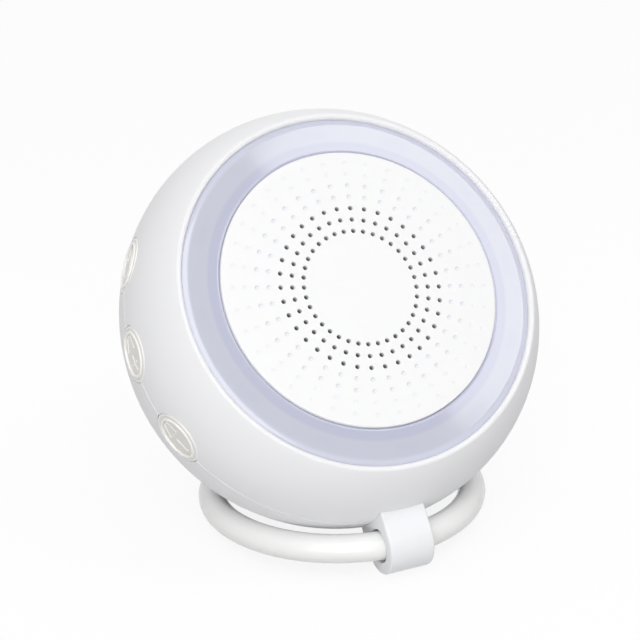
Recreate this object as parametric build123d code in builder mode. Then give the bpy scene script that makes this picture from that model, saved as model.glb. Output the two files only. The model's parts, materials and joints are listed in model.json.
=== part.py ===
"""Travel white noise machine: a round body with a speaker disc, a light ring and a hanging ring.

The body is turned about the face axis and stands tilted back, on its lug, its round back and the far
side of the hanging ring. Lengths are millimetres. Row frame: +Z up, the front towards -Y, +X to the
right as seen from the front, origin on the floor under the middle of the bounding box. Heights inside
the body are counted from the seam between its two shells, positive towards the face.
"""
from build123d import *
from math import asin, atan2, cos, degrees, radians, sin, sqrt, tan
import os

# ---------------------------------------------------------------- body form
BODY_R = 45.0  # widest radius, at the seam
FRONT_DEPTH = 18.3  # seam to speaker face
FRONT_ARC_R = 28.3  # front shell's outer arc, upright at the seam
REAR_DEPTH = 42.5  # seam to the back of the dome
REAR_SHOULDER_R = 36.0  # rear shell's arc next to the seam
WALL = 1.8
LIP_DROP = 0.1  # front rim's crest below the speaker face
LIP_ROUND = 0.45  # radius of the rounded crest, which runs on from the outer arc
LEDGE_R = 35.2  # inner edge of the ledge that carries the light ring
LEDGE_TOP = 14.6
LEDGE_T = 1.4
TONGUE_T = 0.85  # seam tongue on the front shell
TONGUE_H = 1.2
SEAM_CHAMFER = 0.22
GAP = 0.1  # assembly clearance between fixed pieces

# ---------------------------------------------------------------- hanging ring and its lug
RING_R = 28.0  # centreline radius
RING_TUBE_R = 3.0
RING_FOLD = 52.0  # from the line lug to body centre, back to the line lug to ring centre
LUG_ANGLE = 270  # place on the seam circle, 0 being +X
LUG_R = 6.0
LUG_WIDTH = 10.0
LUG_BORE_R = 3.55
LUG_EDGE_FILLET = 0.5
LUG_FLANGE = (16.0, 14.0, 2.0)  # inside the shells: along the face axis, along the bore, thick
LUG_FLANGE_TOP_R = 40.6

# ---------------------------------------------------------------- speaker disc
DISC_R = 29.6
DISC_T = 1.8
DISC_SKIRT_T = 1.6
DISC_SKIRT_H = 1.5
DISC_EDGE_FILLET = 0.45
HOLES_PER_RING = 36
FIRST_HOLE_RING_R = 12.25
HOLE_RING_PITCH = 2.5
HOLE_R = 0.5
OPEN_RINGS = 3
DIMPLE_RINGS = 4
DIMPLE_R = 0.5
DIMPLE_DEPTH = 0.12

# ---------------------------------------------------------------- light ring and LEDs
LIGHT_INNER_R = 29.72
LIGHT_INNER_DROP = 0.72
LIGHT_OUTER_DROP = 1.2
LIGHT_INNER_BEVEL = (0.7, 0.4)  # across, down
LIGHT_OUTER_BEVEL = (1.15, 0.55)
LIGHT_T = 1.8
LIGHT_SKIRT_T = 1.5
LED_COUNT = 12
LED_SIZE = (2.8, 3.5, 0.9)
LED_BOARD_R = (29.7, 33.7)
LED_BOARD_T = 1.0

# ---------------------------------------------------------------- inner frame
FRAME_BORE_R = 21.4  # round the speaker's basket
FRAME_SEAT_R = 22.9  # round the speaker's flange
FRAME_WALL_R = (28.0, 29.4)  # wall under the disc's skirt
FRAME_OUTER_R = 35.0
FRAME_RIM_R = 38.4
FRAME_FLOOR = 9.5
FRAME_FLOOR_T = 1.5
FRAME_WALL_T = 1.0

# ---------------------------------------------------------------- speaker
FLANGE_R = 22.6
FLANGE_T = 0.8
GASKET_R = 19.4
GASKET_T = 0.8
BASKET_NECK_R = 7.6  # hole in the basket's floor, round the voice coil
BASKET_TOP_R = 21.2  # basket's cone-shaped wall, outside, under its flange
BASKET_FOOT_R = 15.4
BASKET_FLOOR = 6.4
BASKET_T = 0.8
BASKET_WINDOW = (5.0, 12.0, 1.5)  # along the face axis, across, corner radius
BASKET_WINDOW_FROM_R = 13.0  # the windows are cut outwards from here
TERMINAL = (16.9, 21.0, 5.0, 9.0)  # tab on the basket: inner and outer radius, width, underside
CONE_R = 20.3
CONE_T = 0.5
SURROUND_R = (16.4, 18.6)
SURROUND_ROLL = 1.0
CONE_NECK_R = 7.4
CONE_NECK_HEIGHT = 10.6
COIL_R = (6.7, 7.2)
COIL_FOOT = 3.0
MAGNET_R = 15.0
MAGNET_HOLE_R = 8.0
MAGNET_BOTTOM = 1.0
POLE_R = 6.2
YOKE_T = 1.8

# ---------------------------------------------------------------- buttons and switches
BUTTON_R = 5.9
BUTTON_PROUD = 0.25  # crown of the dome above the body's widest radius
BUTTON_DOME_R = 25.0
BUTTON_RIM_R = (5.4, 5.5)  # foot and top of the narrow rim
BUTTON_ROUND = 0.3
BEAD_R = (4.35, 4.75)
FIELD_R = 4.25
FIELD_DROP = 0.22
BAND_DROP = 0.15  # of the band between the bead and the rim
BUTTON_SPREAD = 25.0  # degrees round the seam between neighbouring buttons
BUTTON_HOLE_R = 6.0
BUTTON_FLANGE_R = 6.9
BUTTON_FLANGE_TOP = 41.5
BUTTON_FLANGE_T = 0.8
BUTTON_TRAVEL = 0.6
STEM_R = 2.4
STEM_FOOT = 37.6
PLUNGER_R = 1.3
PLUNGER_FOOT = 36.0
SWITCH_SIZE = (5.2, 5.2)
SWITCH_BACK = 34.25
SWITCH_FRONT = 37.0
STRIP_T = 0.75
STRIP_H = 8.0
STRIP_SWEEP = 59.0
TAIL_SWEEP = 8.0  # the strip's tail, which runs down to the main board
CARRIER_T = 2.0
CARRIER_H = 11.0
COLUMN_ANGLE = 34.0
COLUMN_R = 2.4

# ---------------------------------------------------------------- board, battery and socket
BOARD_TOP = -9.0
BOARD_T = 1.6
BOARD_R = 35.5
BOARD_LOW_EDGE = -22.5
BOARD_SCREWS = ((40, 29.0), (140, 29.0), (205, 25.5), (335, 25.5))  # angle, radius
BOARD_POST_R = 2.6
BATTERY = (36.0, 10.0, 22.6)  # across, thick, along the face axis
BATTERY_LOW = -34.6
BATTERY_BACK = -15.2
BATTERY_FILLET = 1.5
PAD_T = 0.8
CHIPS = (  # across, up, wide, high, tall
    (0, 2, 7, 7, 1.0), (-12, 6, 5, 4, 1.4), (12, 5, 4, 4, 2.0), (10, -6, 3, 6, 1.2), (-5, 14, 8, 3, 1.0),
    (-8, -14, 6, 4.5, 3.4),
)
BATTERY_PLUG = (8.0, -14.0)
SPEAKER_PLUG = (10.0, 17.3)
LIGHT_PLUG = (0.0, 27.0)
PLUG_SIZE = (6.0, 4.0, 3.2)
CAPACITORS = ((-18, -2), (18, -2))
CAPACITOR = (2.5, 5.5)  # radius, height
SOCKET = (8.94, 3.2, 7.4)
SOCKET_WALL = 0.3
SOCKET_TONGUE = (0.7, 6.7)
SOCKET_BACK_T = 1.2
SOCKET_MOUTH_R = 41.7
PORT_SLOT = (3.9, 9.6)
PORT_RECESS = (6.8, 12.4)
PORT_RECESS_FLOOR_R = 42.0

# ---------------------------------------------------------------- leads
LEAD_R = 0.45
LEAD_PITCH = 1.1
SPEAKER_LEAD_ANGLE = 60
LIGHT_LEAD_R = 31.7
LIGHT_LEAD_HOLE_R = 1.8

# ---------------------------------------------------------------- screws
SHELL_SCREW_ANGLES = (58, 122, 230, 310)
SHELL_SCREW_RING_R = 37.0
SHELL_POST_R = 3.2
SHELL_POST_FOOT = -4.0
WELL_R = 3.1
WELL_WALL = 1.1
WELL_TOP = -15.0
RIB_T = 1.4
RIB_R = (39.4, 43.3)
FRONT_RIB_H = 9.0
REAR_RIB_H = 6.0
PILOT_R = 1.0
PILOT_DEPTH = 9.0
THREAD_R = 0.92  # screw shanks, just clear of their pilot holes
HEAD_R = 1.9
HEAD_H = 1.3
FRAME_SCREWS_R = 25.7
FRAME_SCREWS = 4
SHELL_SCREW_LENGTH = 18.0
SHELL_SCREW_HEAD_R = 2.6
FRAME_SCREW_LENGTH = 5.5
BOARD_SCREW_LENGTH = 7.0
CARRIER_SCREW_LENGTH = 8.0

# ---------------------------------------------------------------- stance, worked out from the sizes above
RING_CENTRE_OFFSET = (RING_R - sqrt(RING_R**2 - (LUG_WIDTH / 2) ** 2)) / 2
RING_REACH = 2 * RING_R - RING_CENTRE_OFFSET
TILT = 90 + degrees(asin((LUG_R - RING_TUBE_R) / RING_REACH)) - RING_FOLD
SHOULDER_X = BODY_R - REAR_SHOULDER_R
CAP_R = (SHOULDER_X**2 + REAR_DEPTH**2 - REAR_SHOULDER_R**2) / (2 * (REAR_DEPTH - REAR_SHOULDER_R))
CAP_CENTRE = CAP_R - REAR_DEPTH
SHOULDER_ANGLE = degrees(atan2(CAP_CENTRE, SHOULDER_X))
SIN_T = sin(radians(TILT))
COS_T = cos(radians(TILT))
CENTRE_HEIGHT = CAP_R - CAP_CENTRE * SIN_T
LUG_DROP = (CENTRE_HEIGHT - LUG_R) / COS_T
CREST_HEIGHT = FRONT_DEPTH - LIP_DROP - LIP_ROUND  # centre of the rounded crest
FRONT_ARC_X = BODY_R - FRONT_ARC_R
CREST_R = FRONT_ARC_X + sqrt((FRONT_ARC_R - LIP_ROUND) ** 2 - CREST_HEIGHT**2)
CREST_ANGLE = degrees(asin(CREST_HEIGHT / (FRONT_ARC_R - LIP_ROUND)))
OPENING_R = CREST_R - LIP_ROUND  # front shell's round opening
LIGHT_OUTER_R = OPENING_R - GAP
FRONT_REACH = CREST_R * SIN_T + CREST_HEIGHT * COS_T + LIP_ROUND
REAR_REACH = CAP_R - CAP_CENTRE * COS_T

body_centre = (0, (FRONT_REACH - REAR_REACH) / 2, CENTRE_HEIGHT)
seam = Plane(origin=body_centre, x_dir=(1, 0, 0), z_dir=(0, -COS_T, SIN_T))
section = Plane(origin=body_centre, x_dir=(1, 0, 0), z_dir=(0, -SIN_T, -COS_T))
side = Plane(origin=body_centre, x_dir=(0, SIN_T, COS_T), z_dir=(1, 0, 0))
face_axis = Axis(body_centre, seam.z_dir)

# ---------------------------------------------------------------- places shared by several pieces
LEFT_BUTTONS = {"power_button": 180 - BUTTON_SPREAD, "volume_up_button": 180,
                "volume_down_button": 180 + BUTTON_SPREAD}
RIGHT_BUTTONS = {"timer_button": BUTTON_SPREAD, "sound_button": 0, "light_button": -BUTTON_SPREAD}
BUTTONS = {**LEFT_BUTTONS, **RIGHT_BUTTONS}
SIDES = {"left": (180, LEFT_BUTTONS), "right": (0, RIGHT_BUTTONS)}
BUTTON_HOLE_DEPTH = 6.0
LUG_SLOT_DEPTH = 8.0
LUG_SLOT_CLEARANCE = 0.08

INNER_FRONT_R = FRONT_ARC_R - WALL
INNER_SHOULDER_R = REAR_SHOULDER_R - WALL
INNER_CAP_R = CAP_R - WALL
REBATE_R = BODY_R - WALL + TONGUE_T + GAP
REBATE_H = TONGUE_H + GAP
LEDGE_BOTTOM = LEDGE_TOP - LEDGE_T

DISC_UNDERSIDE = FRONT_DEPTH - DISC_T
DISC_SKIRT_FOOT = DISC_UNDERSIDE - DISC_SKIRT_H
FRAME_BOTTOM = FRAME_FLOOR - FRAME_FLOOR_T
FLANGE_TOP = DISC_UNDERSIDE - GASKET_T
FLANGE_BOTTOM = FLANGE_TOP - FLANGE_T
BOARD_BOTTOM = BOARD_TOP - BOARD_T
PORT_CENTRE = BOARD_BOTTOM - SOCKET[1] / 2
CARRIER_OUTER_R = SWITCH_BACK - STRIP_T - 0.05
PLUG_TOP = BOARD_TOP + PLUG_SIZE[2]
FRAME_SCREW_ANGLES = [45 + 90 * index for index in range(FRAME_SCREWS)]

os.makedirs("parts", exist_ok=True)


def save(piece, label):
    """Label a finished piece and write it as its own STEP file."""
    piece.part.label = label
    export_step(piece.part, f"parts/{label}.step")


def turned(angle):
    """Direction in the seam plane at an angle from +X."""
    return seam.x_dir.rotate(Axis((0, 0, 0), seam.z_dir), angle)


def spoke(angle, radius, height=0.0):
    """Plane square to a radius of the seam circle: local z outward, local x towards the face."""
    outward = turned(angle)
    return Plane(origin=seam.origin + outward * radius + seam.z_dir * height,
                 x_dir=seam.z_dir, z_dir=outward)


def spoke_section(angle):
    """Plane through a spoke and the face axis: local x towards the face, local y outward."""
    return Plane(origin=seam.origin, x_dir=seam.z_dir, z_dir=seam.z_dir.cross(turned(angle)))


def spot(angle, radius, height):
    """Plane parallel to the seam at a polar place, its local x along the spoke."""
    outward = turned(angle)
    return Plane(origin=seam.origin + outward * radius + seam.z_dir * height,
                 x_dir=outward, z_dir=seam.z_dir)


def turned_ring(points):
    """Revolve a straight-sided profile, given as (radius, height) points, about the face axis."""
    with BuildSketch(section) as profile:
        with BuildLine():
            Polyline(*points, close=True)
        make_face()
    revolve(profile.sketch, axis=face_axis)


def drill(plane, radius, depth):
    """Cut a round hole from the plane's origin along its normal; a negative depth cuts against it."""
    with BuildSketch(plane) as outline:
        Circle(radius)
    extrude(outline.sketch, amount=depth, mode=Mode.SUBTRACT)


def post(plane, radius, height):
    """Add a round post on the plane; a negative height grows it against the normal."""
    with BuildSketch(plane) as outline:
        Circle(radius)
    extrude(outline.sketch, amount=height)


def screw(plane, length, head_r=HEAD_R):
    """Add a cheese-head screw: its head stands on the plane, its shank goes against the normal."""
    post(plane, head_r, HEAD_H)
    drill(plane.offset(HEAD_H), head_r * 0.5, -HEAD_H * 0.45)
    post(plane, THREAD_R, -length)


def bends(points):
    """Largest radius that fits each inner corner of a route."""
    radii = []
    for before, corner, after in zip(points, points[1:], points[2:]):
        arriving = Vector(*corner) - Vector(*before)
        leaving = Vector(*after) - Vector(*corner)
        turn = radians(arriving.get_angle(leaving))
        radii.append(0.45 * min(arriving.length, leaving.length) / tan(turn / 2))
    return radii


def leads(plane, points, count):
    """Add parallel round wires, side by side across the plane, along a route drawn on it."""
    for index in range(count):
        with BuildLine(plane.offset((index - (count - 1) / 2) * LEAD_PITCH)) as route:
            FilletPolyline(*points, radius=bends(points))
        with BuildSketch(Plane(origin=route.line @ 0, z_dir=route.line % 0)) as wire:
            Circle(LEAD_R)
        sweep(wire.sketch, path=route.line)


# ================================================================ front shell
with BuildPart() as front_shell:
    with BuildSketch(section):
        with BuildLine():
            foot_angle = degrees(asin(SEAM_CHAMFER / FRONT_ARC_R))
            outer_arc = CenterArc((FRONT_ARC_X, 0), FRONT_ARC_R, foot_angle, CREST_ANGLE - foot_angle)
            crest = CenterArc((CREST_R, CREST_HEIGHT), LIP_ROUND, CREST_ANGLE, 180 - CREST_ANGLE)
            inner_arc = CenterArc((FRONT_ARC_X, 0), INNER_FRONT_R, 0,
                                  degrees(asin(LEDGE_BOTTOM / INNER_FRONT_R)))
            Polyline(crest @ 1, (OPENING_R, LEDGE_TOP), (LEDGE_R, LEDGE_TOP), (LEDGE_R, LEDGE_BOTTOM),
                     inner_arc @ 1)
            Polyline(inner_arc @ 0, (BODY_R - WALL, -TONGUE_H), (BODY_R - WALL + TONGUE_T, -TONGUE_H),
                     (BODY_R - WALL + TONGUE_T, 0), (BODY_R - SEAM_CHAMFER, 0), outer_arc @ 0)
        make_face()
    revolve(axis=face_axis)
    # screw posts under the ledge, each tied to the wall by a rib
    for angle in SHELL_SCREW_ANGLES:
        post(spot(angle, SHELL_SCREW_RING_R, SHELL_POST_FOOT), SHELL_POST_R,
             LEDGE_BOTTOM - SHELL_POST_FOOT + GAP)
        with BuildSketch(spoke_section(angle)):
            with Locations((0, RIB_R[0])):
                Rectangle(FRONT_RIB_H, RIB_R[1] - RIB_R[0], align=(Align.MIN, Align.MIN))
        extrude(amount=RIB_T / 2, both=True)
        drill(spot(angle, SHELL_SCREW_RING_R, SHELL_POST_FOOT), PILOT_R, PILOT_DEPTH)
    # half-round seats of the buttons, and the lug's slot
    for angle in BUTTONS.values():
        drill(spoke(angle, BODY_R - BUTTON_HOLE_DEPTH), BUTTON_HOLE_R, 2 * BUTTON_HOLE_DEPTH)
    with BuildSketch(spoke(LUG_ANGLE, BODY_R - LUG_SLOT_DEPTH)):
        Rectangle(2 * (LUG_R + LUG_SLOT_CLEARANCE), LUG_WIDTH + 2 * LUG_SLOT_CLEARANCE)
    extrude(amount=2 * LUG_SLOT_DEPTH, mode=Mode.SUBTRACT)
save(front_shell, "front_shell")

# ================================================================ rear shell
# its inner posts and bosses first, trimmed to the dome that they end in
with BuildPart() as rear_posts:
    for angle in SHELL_SCREW_ANGLES:
        post(spot(angle, SHELL_SCREW_RING_R, SHELL_POST_FOOT - GAP), WELL_R + WELL_WALL, -REAR_DEPTH)
    for angle, radius in BOARD_SCREWS:
        post(spot(angle, radius, BOARD_BOTTOM), BOARD_POST_R, -REAR_DEPTH)
    # two cradle ribs behind the battery
    for across in (-1, 1):
        with BuildSketch(seam.offset(BATTERY_BACK - PAD_T)):
            with Locations((across * BATTERY[0] * 0.3, BATTERY_LOW)):
                Rectangle(RIB_T, BATTERY[1] + 1, align=(Align.CENTER, Align.MIN))
        extrude(amount=-REAR_DEPTH)
    with BuildSketch(section):
        with BuildLine():
            shoulder = CenterArc((SHOULDER_X, 0), REAR_SHOULDER_R - WALL / 2, 0, -SHOULDER_ANGLE)
            dome = CenterArc((0, CAP_CENTRE), CAP_R - WALL / 2, -SHOULDER_ANGLE, SHOULDER_ANGLE - 90)
            Polyline(dome @ 1, (0, 0), shoulder @ 0)
        make_face()
    revolve(axis=face_axis, mode=Mode.INTERSECT)

with BuildPart() as rear_shell:
    with BuildSketch(section):
        with BuildLine():
            foot_angle = degrees(asin(SEAM_CHAMFER / REAR_SHOULDER_R))
            shoulder = CenterArc((SHOULDER_X, 0), REAR_SHOULDER_R, -foot_angle, foot_angle - SHOULDER_ANGLE)
            dome = CenterArc((0, CAP_CENTRE), CAP_R, -SHOULDER_ANGLE, SHOULDER_ANGLE - 90)
            Line(dome @ 1, (0, WALL - REAR_DEPTH))
            CenterArc((0, CAP_CENTRE), INNER_CAP_R, -90, 90 - SHOULDER_ANGLE)
            inner_shoulder = CenterArc((SHOULDER_X, 0), INNER_SHOULDER_R, -SHOULDER_ANGLE,
                                       SHOULDER_ANGLE - degrees(asin(REBATE_H / INNER_SHOULDER_R)))
            Polyline(inner_shoulder @ 1, (REBATE_R, -REBATE_H), (REBATE_R, 0), (BODY_R - SEAM_CHAMFER, 0),
                     shoulder @ 0)
        make_face()
    revolve(axis=face_axis)
    add(rear_posts.part)
    # screw bosses: ribs to the wall, deep wells from outside, clearance holes
    for angle in SHELL_SCREW_ANGLES:
        with BuildSketch(spoke_section(angle)):
            with Locations((SHELL_POST_FOOT - GAP, RIB_R[0])):
                Rectangle(REAR_RIB_H, RIB_R[1] - RIB_R[0], align=(Align.MAX, Align.MIN))
        extrude(amount=RIB_T / 2, both=True)
        drill(spot(angle, SHELL_SCREW_RING_R, WELL_TOP), WELL_R, -REAR_DEPTH)
        drill(spot(angle, SHELL_SCREW_RING_R, WELL_TOP), PILOT_R + GAP, REAR_DEPTH)
    for angle, radius in BOARD_SCREWS:
        drill(spot(angle, radius, BOARD_BOTTOM), PILOT_R, -PILOT_DEPTH)
    for angle in BUTTONS.values():
        drill(spoke(angle, BODY_R - BUTTON_HOLE_DEPTH), BUTTON_HOLE_R, 2 * BUTTON_HOLE_DEPTH)
    with BuildSketch(spoke(LUG_ANGLE, BODY_R - LUG_SLOT_DEPTH)):
        Rectangle(2 * (LUG_R + LUG_SLOT_CLEARANCE), LUG_WIDTH + 2 * LUG_SLOT_CLEARANCE)
    extrude(amount=2 * LUG_SLOT_DEPTH, mode=Mode.SUBTRACT)
    # charging port: a slot for the socket in a shallow seat for the plug's grip
    with BuildSketch(spoke(90, SOCKET_MOUTH_R - SOCKET[2], PORT_CENTRE)):
        RectangleRounded(*PORT_SLOT, PORT_SLOT[0] / 2 - 0.05)
    extrude(amount=2 * SOCKET[2], mode=Mode.SUBTRACT)
    with BuildSketch(spoke(90, PORT_RECESS_FLOOR_R, PORT_CENTRE)):
        RectangleRounded(*PORT_RECESS, PORT_RECESS[0] / 2 - 0.05)
    extrude(amount=SOCKET[2], mode=Mode.SUBTRACT)
save(rear_shell, "rear_shell")

# ================================================================ lug, held between the shells, and its ring
lug_centre = seam.origin + turned(LUG_ANGLE) * LUG_DROP
with BuildPart() as ring_lug:
    with BuildSketch(side):
        with Locations((-LUG_DROP, 0)):
            Circle(LUG_R)
            Rectangle(LUG_DROP - LUG_FLANGE_TOP_R + LUG_FLANGE[2], 2 * LUG_R, align=(Align.MIN, Align.CENTER))
    extrude(amount=LUG_WIDTH / 2, both=True)
    outline = ring_lug.faces().sort_by(Axis.X)
    fillet(outline[0].edges() + outline[-1].edges(), LUG_EDGE_FILLET)
    with BuildSketch(spoke(LUG_ANGLE, LUG_FLANGE_TOP_R - LUG_FLANGE[2])):
        Rectangle(LUG_FLANGE[0], LUG_FLANGE[1])
    extrude(amount=LUG_FLANGE[2])
    with BuildSketch(Plane(origin=lug_centre, x_dir=side.x_dir, z_dir=side.z_dir)):
        Circle(LUG_BORE_R)
    extrude(amount=LUG_WIDTH, both=True, mode=Mode.SUBTRACT)
    bore_edges = ring_lug.edges().filter_by(GeomType.CIRCLE).filter_by(
        lambda edge: abs(edge.radius - LUG_BORE_R) < 0.01)
    fillet(bore_edges, LUG_EDGE_FILLET / 2)
save(ring_lug, "ring_lug")

to_ring = side.x_dir * cos(radians(RING_FOLD)) - side.y_dir * sin(radians(RING_FOLD))
ring_plane = Plane(origin=lug_centre + to_ring * (RING_R - RING_CENTRE_OFFSET), x_dir=(1, 0, 0),
                   z_dir=Vector(1, 0, 0).cross(to_ring))
with BuildPart(ring_plane) as hanging_ring:
    Torus(RING_R, RING_TUBE_R)
save(hanging_ring, "hanging_ring")

# ================================================================ speaker disc with its hole pattern
with BuildPart() as speaker_grille:
    turned_ring([(0, DISC_UNDERSIDE), (DISC_R - DISC_SKIRT_T, DISC_UNDERSIDE),
                 (DISC_R - DISC_SKIRT_T, DISC_SKIRT_FOOT), (DISC_R, DISC_SKIRT_FOOT), (DISC_R, FRONT_DEPTH),
                 (0, FRONT_DEPTH)])
    fillet(speaker_grille.edges().filter_by(GeomType.CIRCLE).sort_by(face_axis)[-1], DISC_EDGE_FILLET)
    for angle in FRAME_SCREW_ANGLES:
        place = spot(angle, FRAME_SCREWS_R, FRAME_FLOOR)
        post(place, PILOT_R + 1.2, DISC_UNDERSIDE - FRAME_FLOOR + GAP)
        drill(place, PILOT_R, PILOT_DEPTH / 2)
    with BuildSketch(seam.offset(FRONT_DEPTH)):
        for ring in range(OPEN_RINGS):
            with PolarLocations(FIRST_HOLE_RING_R + ring * HOLE_RING_PITCH, HOLES_PER_RING):
                Circle(HOLE_R)
    extrude(amount=-DISC_T, mode=Mode.SUBTRACT)
    with BuildSketch(seam.offset(FRONT_DEPTH)):
        for ring in range(OPEN_RINGS, OPEN_RINGS + DIMPLE_RINGS):
            with PolarLocations(FIRST_HOLE_RING_R + ring * HOLE_RING_PITCH, HOLES_PER_RING):
                Circle(DIMPLE_R)
    extrude(amount=-DIMPLE_DEPTH, mode=Mode.SUBTRACT)
save(speaker_grille, "speaker_grille")

# ================================================================ light ring: sloped face, two bevels, skirt
light_inner_top = FRONT_DEPTH - LIGHT_INNER_DROP
light_outer_top = FRONT_DEPTH - LIGHT_OUTER_DROP
inner_across, inner_down = LIGHT_INNER_BEVEL
outer_across, outer_down = LIGHT_OUTER_BEVEL
with BuildPart() as light_ring:
    turned_ring([(LIGHT_INNER_R, light_inner_top - inner_down),
                 (LIGHT_INNER_R + inner_across, light_inner_top),
                 (LIGHT_OUTER_R - outer_across, light_outer_top),
                 (LIGHT_OUTER_R, light_outer_top - outer_down),
                 (LIGHT_OUTER_R, LEDGE_TOP), (LIGHT_OUTER_R - LIGHT_SKIRT_T, LEDGE_TOP),
                 (LIGHT_OUTER_R - LIGHT_SKIRT_T, light_outer_top - LIGHT_T),
                 (LIGHT_INNER_R, light_inner_top - LIGHT_T)])
save(light_ring, "light_ring")

# ================================================================ inner frame for the speaker and the LEDs
with BuildPart() as inner_frame:
    turned_ring([(FRAME_BORE_R, FRAME_BOTTOM), (FRAME_OUTER_R, FRAME_BOTTOM),
                 (FRAME_OUTER_R, LEDGE_BOTTOM - LEDGE_T), (FRAME_RIM_R, LEDGE_BOTTOM - LEDGE_T),
                 (FRAME_RIM_R, LEDGE_BOTTOM), (FRAME_OUTER_R - FRAME_WALL_T, LEDGE_BOTTOM),
                 (FRAME_OUTER_R - FRAME_WALL_T, FRAME_FLOOR), (FRAME_WALL_R[1], FRAME_FLOOR),
                 (FRAME_WALL_R[1], DISC_SKIRT_FOOT), (FRAME_WALL_R[0], DISC_SKIRT_FOOT),
                 (FRAME_WALL_R[0], FRAME_FLOOR), (FRAME_SEAT_R, FRAME_FLOOR),
                 (FRAME_SEAT_R, FLANGE_BOTTOM), (FRAME_BORE_R, FLANGE_BOTTOM)])
    for angle in SHELL_SCREW_ANGLES:
        drill(spot(angle, SHELL_SCREW_RING_R, FRAME_BOTTOM), SHELL_POST_R + 0.3, LEDGE_TOP)
    for angle in FRAME_SCREW_ANGLES:
        drill(spot(angle, FRAME_SCREWS_R, FRAME_BOTTOM), PILOT_R + GAP, FRAME_FLOOR_T)
    drill(spot(90, LIGHT_LEAD_R, FRAME_BOTTOM), LIGHT_LEAD_HOLE_R, FRAME_FLOOR_T)
save(inner_frame, "inner_frame")

# ================================================================ light board with its LEDs
with BuildPart() as led_board:
    led_board_top = FRAME_FLOOR + LED_BOARD_T
    turned_ring([(LED_BOARD_R[0], FRAME_FLOOR), (LED_BOARD_R[1], FRAME_FLOOR),
                 (LED_BOARD_R[1], led_board_top), (LED_BOARD_R[0], led_board_top)])
save(led_board, "led_board")

with BuildPart() as leds:
    with BuildSketch(seam.offset(led_board_top)):
        with PolarLocations(sum(LED_BOARD_R) / 2, LED_COUNT, start_angle=180 / LED_COUNT):
            Rectangle(LED_SIZE[0], LED_SIZE[1])
    extrude(amount=LED_SIZE[2])
save(leds, "leds")

# ================================================================ speaker
with BuildPart() as speaker_gasket:
    turned_ring([(GASKET_R, FLANGE_TOP), (FLANGE_R, FLANGE_TOP), (FLANGE_R, DISC_UNDERSIDE),
                 (GASKET_R, DISC_UNDERSIDE)])
save(speaker_gasket, "speaker_gasket")

with BuildPart() as speaker_basket:
    turned_ring([(BASKET_NECK_R, BASKET_FLOOR), (BASKET_FOOT_R, BASKET_FLOOR), (BASKET_TOP_R, FLANGE_BOTTOM),
                 (FLANGE_R, FLANGE_BOTTOM), (FLANGE_R, FLANGE_TOP), (BASKET_TOP_R - BASKET_T, FLANGE_TOP),
                 (BASKET_FOOT_R - 0.6, BASKET_FLOOR + BASKET_T), (BASKET_NECK_R, BASKET_FLOOR + BASKET_T)])
    # four windows in the cone-shaped wall
    for index in range(4):
        with BuildSketch(spoke(90 * index, BASKET_WINDOW_FROM_R, (BASKET_FLOOR + FLANGE_TOP) / 2 + 0.3)):
            RectangleRounded(*BASKET_WINDOW)
        extrude(amount=FRAME_BORE_R - BASKET_WINDOW_FROM_R, mode=Mode.SUBTRACT)
    # tab that the leads are soldered to
    tab_in, tab_out, tab_width, tab_foot = TERMINAL
    with BuildSketch(spot(SPEAKER_LEAD_ANGLE, (tab_in + tab_out) / 2, tab_foot)):
        Rectangle(tab_out - tab_in, tab_width)
    extrude(amount=BASKET_T)
save(speaker_basket, "speaker_basket")

with BuildPart() as speaker_cone:
    with BuildSketch(section):
        with BuildLine():
            roll_in, roll_out = SURROUND_R
            roll_middle = (roll_in + roll_out) / 2
            roll = ThreePointArc((roll_out, FLANGE_TOP), (roll_middle, FLANGE_TOP - SURROUND_ROLL),
                                 (roll_in, FLANGE_TOP))
            under = ThreePointArc((roll_in + 0.1, FLANGE_TOP - CONE_T - 0.1),
                                  (roll_middle, FLANGE_TOP - SURROUND_ROLL - CONE_T),
                                  (roll_out, FLANGE_TOP - CONE_T))
            Polyline(roll @ 1, (CONE_NECK_R, CONE_NECK_HEIGHT), (0, CONE_NECK_HEIGHT),
                     (0, CONE_NECK_HEIGHT - CONE_T), (CONE_NECK_R + 0.2, CONE_NECK_HEIGHT - CONE_T),
                     under @ 0)
            Polyline(under @ 1, (CONE_R - 0.3, FLANGE_TOP - CONE_T), (CONE_R, FLANGE_TOP), roll @ 0)
        make_face()
    revolve(axis=face_axis)
save(speaker_cone, "speaker_cone")

with BuildPart() as voice_coil:
    coil_top = CONE_NECK_HEIGHT - CONE_T
    turned_ring([(COIL_R[0], COIL_FOOT), (COIL_R[1], COIL_FOOT),
                 (COIL_R[1], coil_top), (COIL_R[0], coil_top)])
save(voice_coil, "voice_coil")

with BuildPart() as speaker_magnet:
    turned_ring([(MAGNET_HOLE_R, MAGNET_BOTTOM), (MAGNET_R, MAGNET_BOTTOM), (MAGNET_R, BASKET_FLOOR),
                 (MAGNET_HOLE_R, BASKET_FLOOR)])
save(speaker_magnet, "speaker_magnet")

with BuildPart() as speaker_yoke:
    turned_ring([(0, MAGNET_BOTTOM - YOKE_T), (MAGNET_R, MAGNET_BOTTOM - YOKE_T), (MAGNET_R, MAGNET_BOTTOM),
                 (POLE_R, MAGNET_BOTTOM), (POLE_R, BASKET_FLOOR + BASKET_T), (0, BASKET_FLOOR + BASKET_T)])
save(speaker_yoke, "speaker_yoke")


# ================================================================ buttons and the plungers that they press
def crown(offset, drop=0.0):
    """Radius from the body's centre of a button's domed top at an offset from its middle."""
    return BODY_R + BUTTON_PROUD - drop - BUTTON_DOME_R + sqrt(BUTTON_DOME_R**2 - offset**2)


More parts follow.
